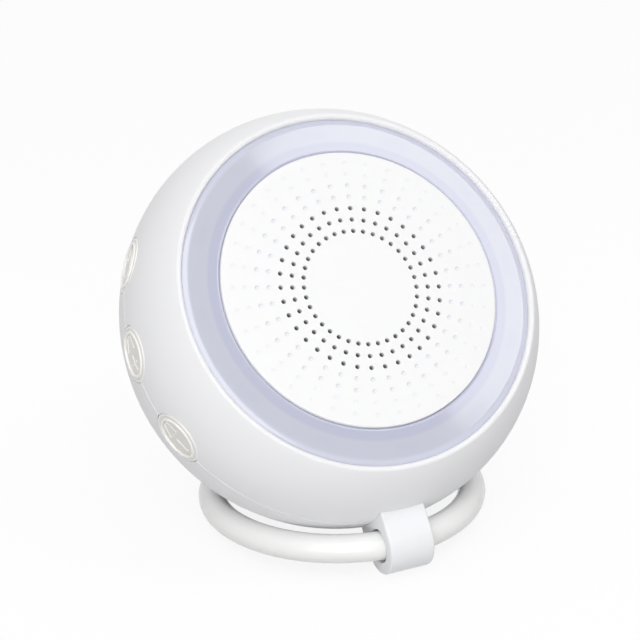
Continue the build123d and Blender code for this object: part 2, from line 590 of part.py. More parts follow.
for name, angle in BUTTONS.items():
    flange_foot = BUTTON_FLANGE_TOP - BUTTON_FLANGE_T
    with BuildPart() as button:
        with BuildSketch(spoke_section(angle)):
            with BuildLine():
                field = ThreePointArc((0, crown(0, FIELD_DROP)),
                                      (FIELD_R / 2, crown(FIELD_R / 2, FIELD_DROP)),
                                      (FIELD_R, crown(FIELD_R, FIELD_DROP)))
                shoulder_r = BUTTON_R - BUTTON_ROUND
                rounding = RadiusArc((shoulder_r, crown(shoulder_r)),
                                     (BUTTON_R, crown(shoulder_r) - BUTTON_ROUND), BUTTON_ROUND)
                Polyline(field @ 1, (BEAD_R[0], crown(BEAD_R[0])), (BEAD_R[1], crown(BEAD_R[1])),
                         (BEAD_R[1] + 0.1, crown(BEAD_R[1] + 0.1, BAND_DROP)),
                         (BUTTON_RIM_R[0], crown(BUTTON_RIM_R[0], BAND_DROP)),
                         (BUTTON_RIM_R[1], crown(BUTTON_RIM_R[1])), rounding @ 0)
                Polyline(rounding @ 1, (BUTTON_R, BUTTON_FLANGE_TOP), (BUTTON_FLANGE_R, BUTTON_FLANGE_TOP),
                         (BUTTON_FLANGE_R, flange_foot), (STEM_R, flange_foot), (STEM_R, STEM_FOOT),
                         (0, STEM_FOOT), field @ 0)
            make_face()
        revolve(axis=Axis(body_centre, turned(angle)))
    save(button, name)
    with BuildPart() as plunger:
        post(spoke(angle, PLUNGER_FOOT), PLUNGER_R, STEM_FOOT - PLUNGER_FOOT)
    save(plunger, name.replace("_button", "_plunger"))

# ================================================================ switches, their curved strips and carriers
for hand, (middle, buttons) in SIDES.items():
    with BuildPart() as switches:
        for angle in buttons.values():
            with BuildSketch(spoke(angle, SWITCH_BACK)):
                Rectangle(*SWITCH_SIZE)
            extrude(amount=SWITCH_FRONT - SWITCH_BACK)
            drill(spoke(angle, SWITCH_FRONT), PLUNGER_R + GAP,
                  PLUNGER_FOOT - BUTTON_TRAVEL - GAP - SWITCH_FRONT)
    save(switches, f"{hand}_switches")

    with BuildPart() as strip:
        with BuildSketch(spoke_section(middle - STRIP_SWEEP / 2)):
            with Locations((0, CARRIER_OUTER_R)):
                Rectangle(STRIP_H, STRIP_T, align=(Align.CENTER, Align.MIN))
        revolve(axis=face_axis, revolution_arc=STRIP_SWEEP)
        with BuildSketch(spoke_section(middle - TAIL_SWEEP / 2)):
            with Locations((BOARD_TOP, CARRIER_OUTER_R)):
                Rectangle(-BOARD_TOP, STRIP_T, align=(Align.MIN, Align.MIN))
        revolve(axis=face_axis, revolution_arc=TAIL_SWEEP)
    save(strip, f"{hand}_switch_strip")

    with BuildPart() as carrier:
        with BuildSketch(spoke_section(middle - COLUMN_ANGLE)):
            with Locations((0, CARRIER_OUTER_R - CARRIER_T)):
                Rectangle(CARRIER_H, CARRIER_T, align=(Align.CENTER, Align.MIN))
        revolve(axis=face_axis, revolution_arc=2 * COLUMN_ANGLE)
        for turn in (-COLUMN_ANGLE, COLUMN_ANGLE):
            place = spot(middle + turn, CARRIER_OUTER_R - CARRIER_T / 2, BOARD_TOP)
            post(place, COLUMN_R, CARRIER_H / 2 - BOARD_TOP)
            drill(place, PILOT_R, PILOT_DEPTH)
    save(carrier, f"{hand}_switch_carrier")

# ================================================================ main board and what is on it
with BuildPart() as main_board:
    with BuildSketch(seam.offset(BOARD_BOTTOM)):
        Circle(BOARD_R)
        with Locations((0, BOARD_LOW_EDGE)):
            Rectangle(2 * BOARD_R, BOARD_R, align=(Align.CENTER, Align.MAX), mode=Mode.SUBTRACT)
        for angle in SHELL_SCREW_ANGLES:
            with Locations((SHELL_SCREW_RING_R * cos(radians(angle)),
                            SHELL_SCREW_RING_R * sin(radians(angle)))):
                Circle(WELL_R + WELL_WALL + 0.3, mode=Mode.SUBTRACT)
        for angle, radius in BOARD_SCREWS:
            with Locations((radius * cos(radians(angle)), radius * sin(radians(angle)))):
                Circle(PILOT_R + GAP, mode=Mode.SUBTRACT)
        for middle in (0, 180):
            with PolarLocations(CARRIER_OUTER_R - CARRIER_T / 2, 2, start_angle=middle - COLUMN_ANGLE,
                                angular_range=4 * COLUMN_ANGLE):
                Circle(PILOT_R + GAP, mode=Mode.SUBTRACT)
    extrude(amount=BOARD_T)
save(main_board, "main_board")

with BuildPart() as board_components:
    for across, up, wide, high, tall in CHIPS:
        with BuildSketch(seam.offset(BOARD_TOP)):
            with Locations((across, up)):
                Rectangle(wide, high)
        extrude(amount=tall)
    with BuildSketch(seam.offset(BOARD_TOP)):
        with Locations(BATTERY_PLUG, SPEAKER_PLUG, LIGHT_PLUG):
            Rectangle(PLUG_SIZE[0], PLUG_SIZE[1])
    extrude(amount=PLUG_SIZE[2])
    with BuildSketch(seam.offset(BOARD_TOP)):
        with Locations(*CAPACITORS):
            Circle(CAPACITOR[0])
    extrude(amount=CAPACITOR[1])
save(board_components, "board_components")

with BuildPart() as usb_socket:
    with BuildSketch(spoke(90, SOCKET_MOUTH_R, PORT_CENTRE)):
        RectangleRounded(SOCKET[1], SOCKET[0], SOCKET[1] / 2 - 0.05)
    extrude(amount=-SOCKET[2])
    with BuildSketch(spoke(90, SOCKET_MOUTH_R, PORT_CENTRE)):
        RectangleRounded(SOCKET[1] - 2 * SOCKET_WALL, SOCKET[0] - 2 * SOCKET_WALL,
                         SOCKET[1] / 2 - SOCKET_WALL - 0.05)
        Rectangle(*SOCKET_TONGUE, mode=Mode.SUBTRACT)
    extrude(amount=SOCKET_BACK_T - SOCKET[2], mode=Mode.SUBTRACT)
save(usb_socket, "usb_socket")

# ================================================================ battery on its pad
with BuildPart() as battery:
    with BuildSketch(seam.offset(BATTERY_BACK)):
        with Locations((0, BATTERY_LOW)):
            Rectangle(BATTERY[0], BATTERY[1], align=(Align.CENTER, Align.MIN))
    extrude(amount=BATTERY[2])
    fillet(battery.edges().filter_by(Axis.X), BATTERY_FILLET)
save(battery, "battery")

with BuildPart() as battery_pad:
    with BuildSketch(seam.offset(BATTERY_BACK - PAD_T)):
        with Locations((0, BATTERY_LOW + 1)):
            Rectangle(BATTERY[0] - 4, BATTERY[1] - 2, align=(Align.CENTER, Align.MIN))
    extrude(amount=PAD_T)
save(battery_pad, "battery_pad")

# ================================================================ leads, each from its terminal to its plug
with BuildPart() as speaker_leads:
    plug_r = sqrt(SPEAKER_PLUG[0] ** 2 + SPEAKER_PLUG[1] ** 2)
    leads(spoke_section(SPEAKER_LEAD_ANGLE), [(tab_foot, plug_r), (4.5, plug_r), (0.5, plug_r + 2),
                                              (-3.0, plug_r), (PLUG_TOP, plug_r)], 2)
save(speaker_leads, "speaker_leads")

with BuildPart() as battery_leads:
    face = BATTERY_LOW + BATTERY[1]
    plug_up = BATTERY_PLUG[1]
    leads(side.offset(BATTERY_PLUG[0]), [(face, 4.0), (face + 5, 4.0), (face + 7.5, -1.0), (plug_up, -2.5),
                                         (plug_up, PLUG_TOP)], 2)
save(battery_leads, "battery_leads")

with BuildPart() as light_leads:
    plug_up = LIGHT_PLUG[1]
    leads(side, [(LIGHT_LEAD_R, FRAME_FLOOR), (LIGHT_LEAD_R, 4.0), (plug_up + 1.5, 0.0), (plug_up, -3.0),
                 (plug_up, PLUG_TOP)], 3)
save(light_leads, "light_leads")

# ================================================================ screws, one node for each kind
with BuildPart() as shell_screws:
    for angle in SHELL_SCREW_ANGLES:
        place = spot(angle, SHELL_SCREW_RING_R, WELL_TOP)
        screw(Plane(origin=place.origin, x_dir=place.x_dir, z_dir=-place.z_dir), SHELL_SCREW_LENGTH,
              SHELL_SCREW_HEAD_R)
save(shell_screws, "shell_screws")

with BuildPart() as frame_screws:
    for angle in FRAME_SCREW_ANGLES:
        place = spot(angle, FRAME_SCREWS_R, FRAME_BOTTOM)
        screw(Plane(origin=place.origin, x_dir=place.x_dir, z_dir=-place.z_dir), FRAME_SCREW_LENGTH)
save(frame_screws, "frame_screws")

with BuildPart() as board_screws:
    for angle, radius in BOARD_SCREWS:
        screw(spot(angle, radius, BOARD_TOP), BOARD_SCREW_LENGTH)
save(board_screws, "board_screws")

with BuildPart() as carrier_screws:
    for middle in (0, 180):
        for turn in (-COLUMN_ANGLE, COLUMN_ANGLE):
            place = spot(middle + turn, CARRIER_OUTER_R - CARRIER_T / 2, BOARD_BOTTOM)
            screw(Plane(origin=place.origin, x_dir=place.x_dir, z_dir=-place.z_dir), CARRIER_SCREW_LENGTH)
save(carrier_screws, "carrier_screws")

print(f"tilt {TILT:.3f} deg, lug drop {LUG_DROP:.3f}, body centre {body_centre}, cap radius {CAP_R:.3f}")
print("hinge of the ring at", tuple(round(value, 4) for value in lug_centre))
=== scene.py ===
"""Finishes and fine meshes of a travel white noise machine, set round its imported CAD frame.

Pieces are modelled in the body's own frame, in millimetres: +X to the right as seen from the front, +Y
away from the lug, +Z along the face axis, with the origin in the middle of the seam between the shells.
"""
from __future__ import annotations

import json
import logging
import math
from dataclasses import dataclass
from enum import Enum

import bmesh
import bpy
from mathutils import Matrix, Vector

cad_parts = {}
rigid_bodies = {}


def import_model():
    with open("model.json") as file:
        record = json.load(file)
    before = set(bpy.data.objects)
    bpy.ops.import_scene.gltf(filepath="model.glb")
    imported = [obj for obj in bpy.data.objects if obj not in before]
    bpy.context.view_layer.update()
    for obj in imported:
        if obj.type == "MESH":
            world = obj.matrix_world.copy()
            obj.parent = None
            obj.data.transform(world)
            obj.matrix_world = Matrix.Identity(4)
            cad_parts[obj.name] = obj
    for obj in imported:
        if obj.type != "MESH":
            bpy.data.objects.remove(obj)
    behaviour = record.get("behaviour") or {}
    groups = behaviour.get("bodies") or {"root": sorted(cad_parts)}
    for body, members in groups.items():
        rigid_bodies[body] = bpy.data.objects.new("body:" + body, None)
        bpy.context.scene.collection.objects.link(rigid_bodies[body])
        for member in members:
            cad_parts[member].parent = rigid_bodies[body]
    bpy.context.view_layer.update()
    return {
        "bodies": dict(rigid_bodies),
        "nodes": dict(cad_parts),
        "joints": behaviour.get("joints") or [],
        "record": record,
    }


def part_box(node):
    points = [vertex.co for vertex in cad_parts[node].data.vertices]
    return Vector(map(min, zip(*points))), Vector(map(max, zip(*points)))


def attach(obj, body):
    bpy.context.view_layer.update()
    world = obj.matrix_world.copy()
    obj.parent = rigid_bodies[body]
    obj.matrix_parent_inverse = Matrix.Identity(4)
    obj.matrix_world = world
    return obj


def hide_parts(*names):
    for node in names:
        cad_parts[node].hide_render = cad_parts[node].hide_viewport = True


log = logging.getLogger("sound_machine")

MM = 0.001  # metres
FULL_TURN = 2 * math.pi
FACE_HEIGHT = 18.3  # seam to speaker face, in millimetres
HOLES_PER_RING = 36
OPEN_RINGS = 3
FIRST_HOLE_RING = 12.25  # radius of the innermost ring of holes, in millimetres
HOLE_PITCH = 2.5  # distance from ring to ring of holes, in millimetres
# Attribute that marks the buttons' raised parts, which carry a painted highlight.
RAISED = "raised"
SIGN_SCALE = 1.22
Colour = tuple[float, float, float]


# ------------------------------------------------------------------ shader expressions
@dataclass
class Reading:
    """A number that varies over a surface, held as a shader socket.

    Args:
        bench: the material that the socket belongs to.
        socket: the output socket that carries the number.
    """

    bench: "Bench"
    socket: bpy.types.NodeSocket

    def _maths(self, operation: str, *values: "Reading | float") -> "Reading":
        """Add one Math node over the given values and return its result."""
        return self.bench.node("ShaderNodeMath", {"operation": operation}, dict(enumerate(values)))

    def __add__(self, other: "Reading | float") -> "Reading":
        """Sum of two readings."""
        return self._maths("ADD", self, other)

    __radd__ = __add__

    def __sub__(self, other: "Reading | float") -> "Reading":
        """This reading less another."""
        return self._maths("SUBTRACT", self, other)

    def __rsub__(self, other: float) -> "Reading":
        """A number less this reading."""
        return self._maths("SUBTRACT", other, self)

    def __mul__(self, other: "Reading | float") -> "Reading":
        """Product of two readings."""
        return self._maths("MULTIPLY", self, other)

    __rmul__ = __mul__

    def __truediv__(self, other: "Reading | float") -> "Reading":
        """This reading over another."""
        return self._maths("DIVIDE", self, other)

    def wave(self) -> "Reading":
        """Cosine of this reading, in radians."""
        return self._maths("COSINE", self)

    def size(self) -> "Reading":
        """Absolute value of this reading."""
        return self._maths("ABSOLUTE", self)

    def larger(self, other: "Reading | float") -> "Reading":
        """The larger of this reading and another."""
        return self._maths("MAXIMUM", self, other)

    def fraction(self) -> "Reading":
        """What is left of this reading above the whole number under it."""
        return self._maths("FRACT", self)

    def root(self) -> "Reading":
        """Square root of this reading."""
        return self._maths("SQRT", self)

    def reach(self, across: "Reading") -> "Reading":
        """Length of the direction (across, this reading)."""
        return (across * across + self * self).root()

    def bearing(self, across: "Reading") -> "Reading":
        """Angle of the direction (across, this reading), in radians."""
        return self._maths("ARCTAN2", self, across)

    def ramp(self, low: float, high: float) -> "Reading":
        """This reading mapped so that low gives 0 and high gives 1, held at both ends."""
        settings = {"interpolation_type": "SMOOTHSTEP"}
        return self.bench.node("ShaderNodeMapRange", settings, {0: self, 1: low, 2: high, 3: 0.0, 4: 1.0})


class Bench:
    """A material under construction: its node tree and its surface shader."""

    def __init__(self, name: str) -> None:
        """Start an empty material of the given name."""
        self.material = bpy.data.materials.new(name)
        self.material.use_nodes = True
        self.tree = self.material.node_tree
        self.shader = self.tree.nodes["Principled BSDF"]

    def node(self, kind: str, settings: dict[str, object] | None = None,
             values: dict[int | str, object] | None = None, output: int | str = 0) -> Reading:
        """Add a node.

        Args:
            kind: the node's type name.
            settings: attributes set before its sockets are filled.
            values: numbers, colours or readings for its input sockets.
            output: which output socket to return.

        Returns:
            The chosen output as a reading.
        """
        made = self.tree.nodes.new(kind)
        for name, value in (settings or {}).items():
            setattr(made, name, value)
        for place, value in (values or {}).items():
            if isinstance(value, Reading):
                self.tree.links.new(value.socket, made.inputs[place])
            else:
                made.inputs[place].default_value = value
        return Reading(self, made.outputs[output])

    def set(self, **sockets: object) -> None:
        """Fill sockets of the surface shader; underscores in a name stand for spaces."""
        for name, value in sockets.items():
            target = self.shader.inputs[name.replace("_", " ")]
            if isinstance(value, Reading):
                self.tree.links.new(value.socket, target)
            else:
                target.default_value = value

    def position(self, centre: Vector | None = None, turn: Matrix | None = None) -> Reading:
        """Object coordinates in millimetres, optionally moved to a centre and turned by a matrix."""
        here = self.node("ShaderNodeTexCoord", output="Object")
        turned = (turn or Matrix.Identity(3)).transposed()
        euler = turned.to_euler()
        moved = self.node("ShaderNodeVectorMath", {"operation": "SUBTRACT"},
                          {0: here, 1: centre or Vector((0, 0, 0))})
        return self.node("ShaderNodeMapping", {"vector_type": "POINT"},
                         {"Vector": moved, "Rotation": euler, "Scale": (1 / MM, 1 / MM, 1 / MM)})

    def axes(self, place: Reading) -> tuple[Reading, ...]:
        """Split a position into its three numbers."""
        split = self.tree.nodes.new("ShaderNodeSeparateXYZ")
        self.tree.links.new(place.socket, split.inputs[0])
        return tuple(Reading(self, output) for output in split.outputs)

    def grain(self, place: Reading, size: float, detail: float = 2.0) -> Reading:
        """Noise between 0 and 1 with features of about the given size in millimetres."""
        return self.node("ShaderNodeTexNoise", {"noise_dimensions": "3D"},
                         {"Vector": place, "Scale": 1 / size, "Detail": detail, "Roughness": 0.5})

    def blend(self, share: Reading, low: Colour, high: Colour) -> Reading:
        """Colour between two colours by a share from 0 to 1."""
        return self.mixed(share, (*low, 1), (*high, 1))

    def mixed(self, share: Reading, low: object, high: object) -> Reading:
        """Mix two colours, either of them a reading or four numbers, by a share from 0 to 1."""
        return self.node("ShaderNodeMix", {"data_type": "RGBA"}, {0: share, 6: low, 7: high}, output=2)

    def relief(self, height: Reading, depth_mm: float) -> None:
        """Bump the surface by a height reading of a full depth in millimetres."""
        bump = self.node("ShaderNodeBump", {}, {"Height": height, "Strength": 1.0, "Distance": depth_mm * MM},
                         output="Normal")
        self.set(Normal=bump)

    def background_rays(self) -> Reading:
        """1 for the rays that see the background as it is: camera, glossy and transmission rays."""
        camera, glossy, transmission = (self.node("ShaderNodeLightPath", output=name)
                                        for name in ("Is Camera Ray", "Is Glossy Ray", "Is Transmission Ray"))
        return camera.larger(glossy).larger(transmission)


class Sky(Bench):
    """A world under construction."""

    def __init__(self, name: str) -> None:
        """Start an empty world of the given name and make it the scene's."""
        self.world = bpy.data.worlds.new(name)
        self.world.use_nodes = True
        self.tree = self.world.node_tree
        self.shader = self.tree.nodes["Background"]
        bpy.context.scene.world = self.world


# ------------------------------------------------------------------ the body's own frame
@dataclass(frozen=True)
class BodyFrame:
    """Where the machine's body stands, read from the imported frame.

    Args:
        centre: middle of the seam, in metres.
        across: unit vector to the right as seen from the front.
        along: unit vector away from the lug.
        facing: unit vector out of the speaker face.
    """

    centre: Vector
    across: Vector
    along: Vector
    facing: Vector

    @classmethod
    def from_record(cls, record: dict, face_height: float) -> "BodyFrame":
        """Read the face mount of the record; face_height is the seam to face distance in millimetres."""
        mount = next(one for one in record["mounts"] if one["name"] == "speaker_face")
        facing = Vector(mount["axis"]).normalized()
        across = Vector((1, 0, 0))
        return cls(Vector(mount["pos_m"]) - facing * face_height * MM, across, facing.cross(across), facing)

    @property
    def turn(self) -> Matrix:
        """Rotation from body axes to row axes."""
        return Matrix((self.across, self.along, self.facing)).transposed()

    @property
    def place(self) -> Matrix:
        """Transform from body millimetres to row metres."""
        return Matrix.Translation(self.centre) @ self.turn.to_4x4() @ Matrix.Scale(MM, 4)

    def spoke(self, angle: float) -> Matrix:
        """Frame on a spoke of the seam circle: local Z outward, local X towards the face, in millimetres."""
        outward = Vector((math.cos(math.radians(angle)), math.sin(math.radians(angle)), 0))
        towards_face = Vector((0, 0, 1))
        sideways = outward.cross(towards_face)
        return aligned(towards_face, sideways, outward)


# ------------------------------------------------------------------ mesh helpers
class Pen:
    """Draws a profile in the plane of radius (local X) and height (local Z), then spins it."""

    def __init__(self, radius: float, height: float) -> None:
        """Set the pen down at the first point."""
        self.mesh = bmesh.new()
        self.first = self.last = self.mesh.verts.new((radius, 0, height))

    def line(self, radius: float, height: float) -> "Pen":
        """Draw a straight stroke to a point."""
        corner = self.mesh.verts.new((radius, 0, height))
        self.mesh.edges.new((self.last, corner))
        self.last = corner
        return self

    def arc(self, centre_radius: float, centre_height: float, degrees: float, steps: int) -> "Pen":
        """Draw an arc about a centre; positive degrees turn from the radius axis towards the height axis."""
        made = bmesh.ops.spin(self.mesh, geom=[self.last], cent=(centre_radius, 0, centre_height),
                              axis=(0, -1, 0), angle=math.radians(degrees), steps=steps, use_merge=False)
        self.last = next(item for item in made["geom_last"] if isinstance(item, bmesh.types.BMVert))
        return self

    def close(self) -> "Pen":
        """Join the last point to the first."""
        self.mesh.edges.new((self.last, self.first))
        return self

    def spin(self, steps: int) -> bmesh.types.BMesh:
        """Turn the profile a full circle about the height axis and close it."""
        bmesh.ops.spin(self.mesh, geom=self.mesh.verts[:] + self.mesh.edges[:], cent=(0, 0, 0),
                       axis=(0, 0, 1), angle=FULL_TURN, steps=steps, use_merge=True)
        tidy(self.mesh)
        return self.mesh


def round_edges(mesh: bmesh.types.BMesh, edges: list, radius: float, segments: int) -> None:
    """Round edges with a bevel of the given width and number of facets."""
    bmesh.ops.bevel(mesh, geom=edges, offset=radius, affect="EDGES", segments=segments, profile=0.5,
                    material=-1)


def aligned(across: Vector, along: Vector, facing: Vector) -> Matrix:
    """Rotation that turns local X, Y and Z to three directions."""
    return Matrix((across, along, facing)).transposed().to_4x4()


def tidy(mesh: bmesh.types.BMesh, distance: float = 1e-4) -> None:
    """Merge doubled points and turn every face outwards."""
    bmesh.ops.remove_doubles(mesh, verts=mesh.verts[:], dist=distance)
    bmesh.ops.dissolve_degenerate(mesh, dist=distance / 10, edges=mesh.edges[:])
    bmesh.ops.recalc_face_normals(mesh, faces=mesh.faces[:])


def rounded_bar(width: float, height: float, length: float, radius: float,
                segments: int) -> bmesh.types.BMesh:
    """Bar along local Z with rounded long edges, standing on the local XY plane.

    Args:
        width: size along local X.
        height: size along local Y.
        length: size along local Z.
        radius: rounding of the four long edges.
        segments: facets of each rounding.

    Returns:
        The bar's mesh.
    """
    bar = bmesh.new()
    bmesh.ops.create_cube(bar, size=1, matrix=Matrix.Translation((0, 0, length / 2))
                          @ Matrix.Diagonal((width, height, length, 1)))
    upright = [edge for edge in bar.edges if abs((edge.verts[0].co - edge.verts[1].co).z) > length / 2]
    round_edges(bar, upright, radius, segments)
    return bar


def drum(radius: float, low: float, high: float, segments: int) -> bmesh.types.BMesh:
    """Closed cylinder about local Z between two heights."""
    made = bmesh.new()
    bmesh.ops.create_cone(made, cap_ends=True, segments=segments, radius1=radius, radius2=radius,
                          depth=high - low, matrix=Matrix.Translation((0, 0, (low + high) / 2)))
    return made


def merge(target: bmesh.types.BMesh, other: bmesh.types.BMesh, placed: Matrix | None = None) -> None:
    """Pour another mesh into the target, placed by a matrix, and free it."""
    if placed is not None:
        bmesh.ops.transform(other, matrix=placed, verts=other.verts[:])
    loose = bpy.data.meshes.new("pour")
    other.to_mesh(loose)
    other.free()
    target.from_mesh(loose)
    bpy.data.meshes.remove(loose)


def to_object(name: str, mesh: bmesh.types.BMesh, placed: Matrix,
              smooth_below: float = 35.0) -> bpy.types.Object:
    """Make an object at the origin from a mesh, with its place in its points.

    Args:
        name: the object's name.
        mesh: the mesh to use, freed here.
        placed: transform from the mesh's units to row metres.
        smooth_below: edges flatter than this many degrees are shaded smooth.

    Returns:
        The new object.
    """
    bmesh.ops.transform(mesh, matrix=placed, verts=mesh.verts[:])
    data = bpy.data.meshes.new(name)
    mesh.to_mesh(data)
    mesh.free()
    made = bpy.data.objects.new(name, data)
    bpy.context.scene.collection.objects.link(made)
    soften(made, smooth_below)
    return made


def soften(piece: bpy.types.Object, smooth_below: float = 35.0) -> None:
    """Shade a piece smooth except across edges sharper than the given angle."""
    mesh = piece.data
    mesh.polygons.foreach_set("use_smooth", [True] * len(mesh.polygons))
    shaped = bmesh.new()
    shaped.from_mesh(mesh)
    limit = math.radians(smooth_below)
    for edge in shaped.edges:
        edge.smooth = len(edge.link_faces) == 2 and edge.calc_face_angle(0.0) < limit
    shaped.to_mesh(mesh)
    shaped.free()


def carve(piece: bpy.types.Object, cutter: bpy.types.Object) -> None:
    """Cut one object out of another and delete the cutter."""
    tool = piece.modifiers.new("carve", "BOOLEAN")
    tool.operation = "DIFFERENCE"
    tool.solver = "EXACT"
    tool.object = cutter
    bpy.context.view_layer.update()
    result = bpy.data.meshes.new_from_object(piece.evaluated_get(bpy.context.evaluated_depsgraph_get()))
    piece.modifiers.remove(tool)
    old = piece.data
    piece.data = result
    bpy.data.meshes.remove(old)
    spare = cutter.data
    bpy.data.objects.remove(cutter)
    bpy.data.meshes.remove(spare)


# ------------------------------------------------------------------ finishes
@dataclass(frozen=True)
class Moulding:
    """Moulded plastic or rubber: an even colour, a fine spark-eroded grain and a soft gloss.

    Args:
        colour: base colour.
        roughness: mean roughness.
        spread: how far the roughness wanders either way.
        grain: size of the texture's features in millimetres.
        depth: depth of the texture in millimetres.
        specular: specular level.
        glow: share of light that wanders under the skin.
        glow_reach: how far it wanders in millimetres.
        cloud: size of the faint clouds in colour and gloss, in millimetres.
        cloud_shade: share of the colour that is left in the darkest cloud.
    """

    colour: Colour
    roughness: float
    spread: float = 0.04
    grain: float = 0.35
    depth: float = 0.004
    specular: float = 0.5
    glow: float = 0.0
    glow_reach: float = 2.0
    cloud: float = 14.0
    cloud_shade: float = 0.985

    def tint(self, bench: Bench) -> Reading:
        """Base colour with a faint cloudiness."""
        low = tuple(channel * self.cloud_shade for channel in self.colour)
        return bench.blend(bench.grain(bench.position(), self.cloud), low, self.colour)

    def make(self, name: str) -> bpy.types.Material:
        """Build the material."""
        bench = Bench(name)
        place = bench.position()
        fine = bench.grain(place, self.grain, 3.0)
        cloud = bench.grain(place, self.cloud)
        bench.set(Base_Color=self.tint(bench),
                  Roughness=self.roughness - self.spread + cloud * (2 * self.spread),
                  Specular_IOR_Level=self.specular, Subsurface_Weight=self.glow,
                  Subsurface_Radius=(1.0, 0.95, 0.9), Subsurface_Scale=self.glow_reach * MM)
        bench.relief(fine, self.depth)
        return bench.material


@dataclass(frozen=True)
class ButtonRubber(Moulding):
    """Silicone rubber whose raised beads, rims and signs carry a painted highlight: they are coloured
    lighter.

    Args:
        painted_ridge_highlight: lighter colour painted on the raised parts as a highlight; the mesh marks
            them with an attribute.
    """

    # Painted highlight colour of the raised parts.
    painted_ridge_highlight: Colour = (0.98, 0.97, 0.945)

    def tint(self, bench: Bench) -> Reading:
        """Base colour, with a painted highlight on the raised parts."""
        raised = bench.node("ShaderNodeAttribute", {"attribute_name": RAISED}, output="Fac")
        # Painted highlight: the raised parts are coloured lighter than the rest of the rubber.
        return bench.mixed(raised, super().tint(bench), (*self.painted_ridge_highlight, 1))


@dataclass(frozen=True)
class DiscPlastic(Moulding):
    """Matt white plastic of the speaker disc, with painted shade inside its holes and faint painted shade in
    its dimples.

    Args:
        body: the body's frame, which centres the pattern of holes.
        holes: number of holes in each ring.
        first_ring: radius of the innermost ring in millimetres.
        pitch: distance from ring to ring in millimetres.
        spot: radii in millimetres from full painted shade to none round the middle of a dimple.
        dimples: radii of the disc in millimetres at which the dimples grow faint and at which they end.
        painted_dimple_shade_tint: colour of a dimple's painted shade at its strongest.
        lit_side: step in millimetres from the middle of a dimple to the side that its painted shade leaves
            paler, as if lit.
        face: height in millimetres of the disc's face over the seam.
        painted_hole_shade: depths in millimetres under the face from no painted shade to full painted shade
            in a hole.
        painted_hole_shade_tint: colour of the painted shade deep in a hole.
        lit_share: share of the painted shade that the lit side loses.
        softness: reach in millimetres of the change to either side of the first and last dimples.
        fade: width in millimetres over which the dimples grow faint, and share of their painted shade that
            goes.
    """

    body: BodyFrame | None = None
    holes: int = HOLES_PER_RING
    first_ring: float = FIRST_HOLE_RING
    pitch: float = HOLE_PITCH
    spot: tuple[float, float] = (0.36, 0.6)
    dimples: tuple[float, float] = (23.1, 28.6)
    # Colour of the painted shade in the dimples.
    painted_dimple_shade_tint: Colour = (0.66, 0.66, 0.74)
    lit_side: tuple[float, float] = (0.18, -0.22)
    face: float = FACE_HEIGHT
    # Painted shade in the open holes: the depths where it begins and is full, then its colour.
    painted_hole_shade: tuple[float, float] = (0.1, 1.5)
    painted_hole_shade_tint: Colour = (0.30, 0.30, 0.32)
    lit_share: float = 0.75
    softness: float = 0.2
    fade: tuple[float, float] = (0.8, 0.7)

    def near_hole(self, across: Reading, along: Reading, radius: Reading) -> Reading:
        """1 in the middle of the nearest place of a hole, falling to 0 at its edge."""
        spoke = (along.bearing(across) * (self.holes / FULL_TURN) + 0.5).fraction() - 0.5
        ring = ((radius - self.first_ring) / self.pitch + 0.5).fraction() - 0.5
        sideways = spoke * radius * (FULL_TURN / self.holes)
        outward = ring * self.pitch
        return 1 - outward.reach(sideways).ramp(*self.spot)

    def tint(self, bench: Bench) -> Reading:
        """Base colour, with the dimples' faint painted shade and the holes' painted shade."""
        across, along, facing = bench.axes(bench.position(self.body.centre, self.body.turn))
        radius = along.reach(across)
        lit_across, lit_along = across - self.lit_side[0], along - self.lit_side[1]
        lit_radius = lit_along.reach(lit_across)
        # Painted shade in the dimples: a crescent, paler on the side offset by lit_side as if lit from there.
        shaded = self.near_hole(across, along, radius)
        dimple_painted_shade = shaded * (1 - self.near_hole(lit_across, lit_along, lit_radius) * self.lit_share)
        inner = self.first_ring + (OPEN_RINGS - 0.5) * self.pitch
        first, last = self.dimples
        width, loss = self.fade
        beyond_holes = radius.ramp(inner - self.softness, inner + self.softness)
        fading = 1 - radius.ramp(first, first + width) * loss
        strength = beyond_holes * fading * (1 - radius.ramp(last - self.softness, last + self.softness))
        with_painted_dimple_shade = bench.mixed(dimple_painted_shade * strength, super().tint(bench), (*self.painted_dimple_shade_tint, 1))
        # Painted shade: the walls of the open holes darken with depth under the face.
        painted_hole_shade = (self.face - facing).ramp(*self.painted_hole_shade) * (1 - beyond_holes)
        return bench.mixed(painted_hole_shade, with_painted_dimple_shade, (*self.painted_hole_shade_tint, 1))


@dataclass(frozen=True)
class Metal:
    """Plain plated or pressed metal with fine streaks.

    Args:
        colour: base colour.
        roughness: mean roughness.
        metallic: 1 for bare metal, 0 for paint.
        spread: how far the roughness wanders either way.
        streak: size of the streaks in millimetres.
        streak_shade: share of the colour that is left in the darkest streak.
        depth: depth of the streaks in millimetres.
    """

    colour: Colour
    roughness: float
    metallic: float = 1.0
    spread: float = 0.08
    streak: float = 0.6
    streak_shade: float = 0.82
    depth: float = 0.002

    def make(self, name: str) -> bpy.types.Material:
        """Build the material."""
        bench = Bench(name)
        place = bench.position()
        streaks = bench.grain(place, self.streak, 4.0)
        low = tuple(channel * self.streak_shade for channel in self.colour)
        bench.set(Base_Color=bench.blend(streaks, low, self.colour), Metallic=self.metallic,
                  Roughness=self.roughness - self.spread + streaks * (2 * self.spread))
        bench.relief(streaks, self.depth)
        return bench.material


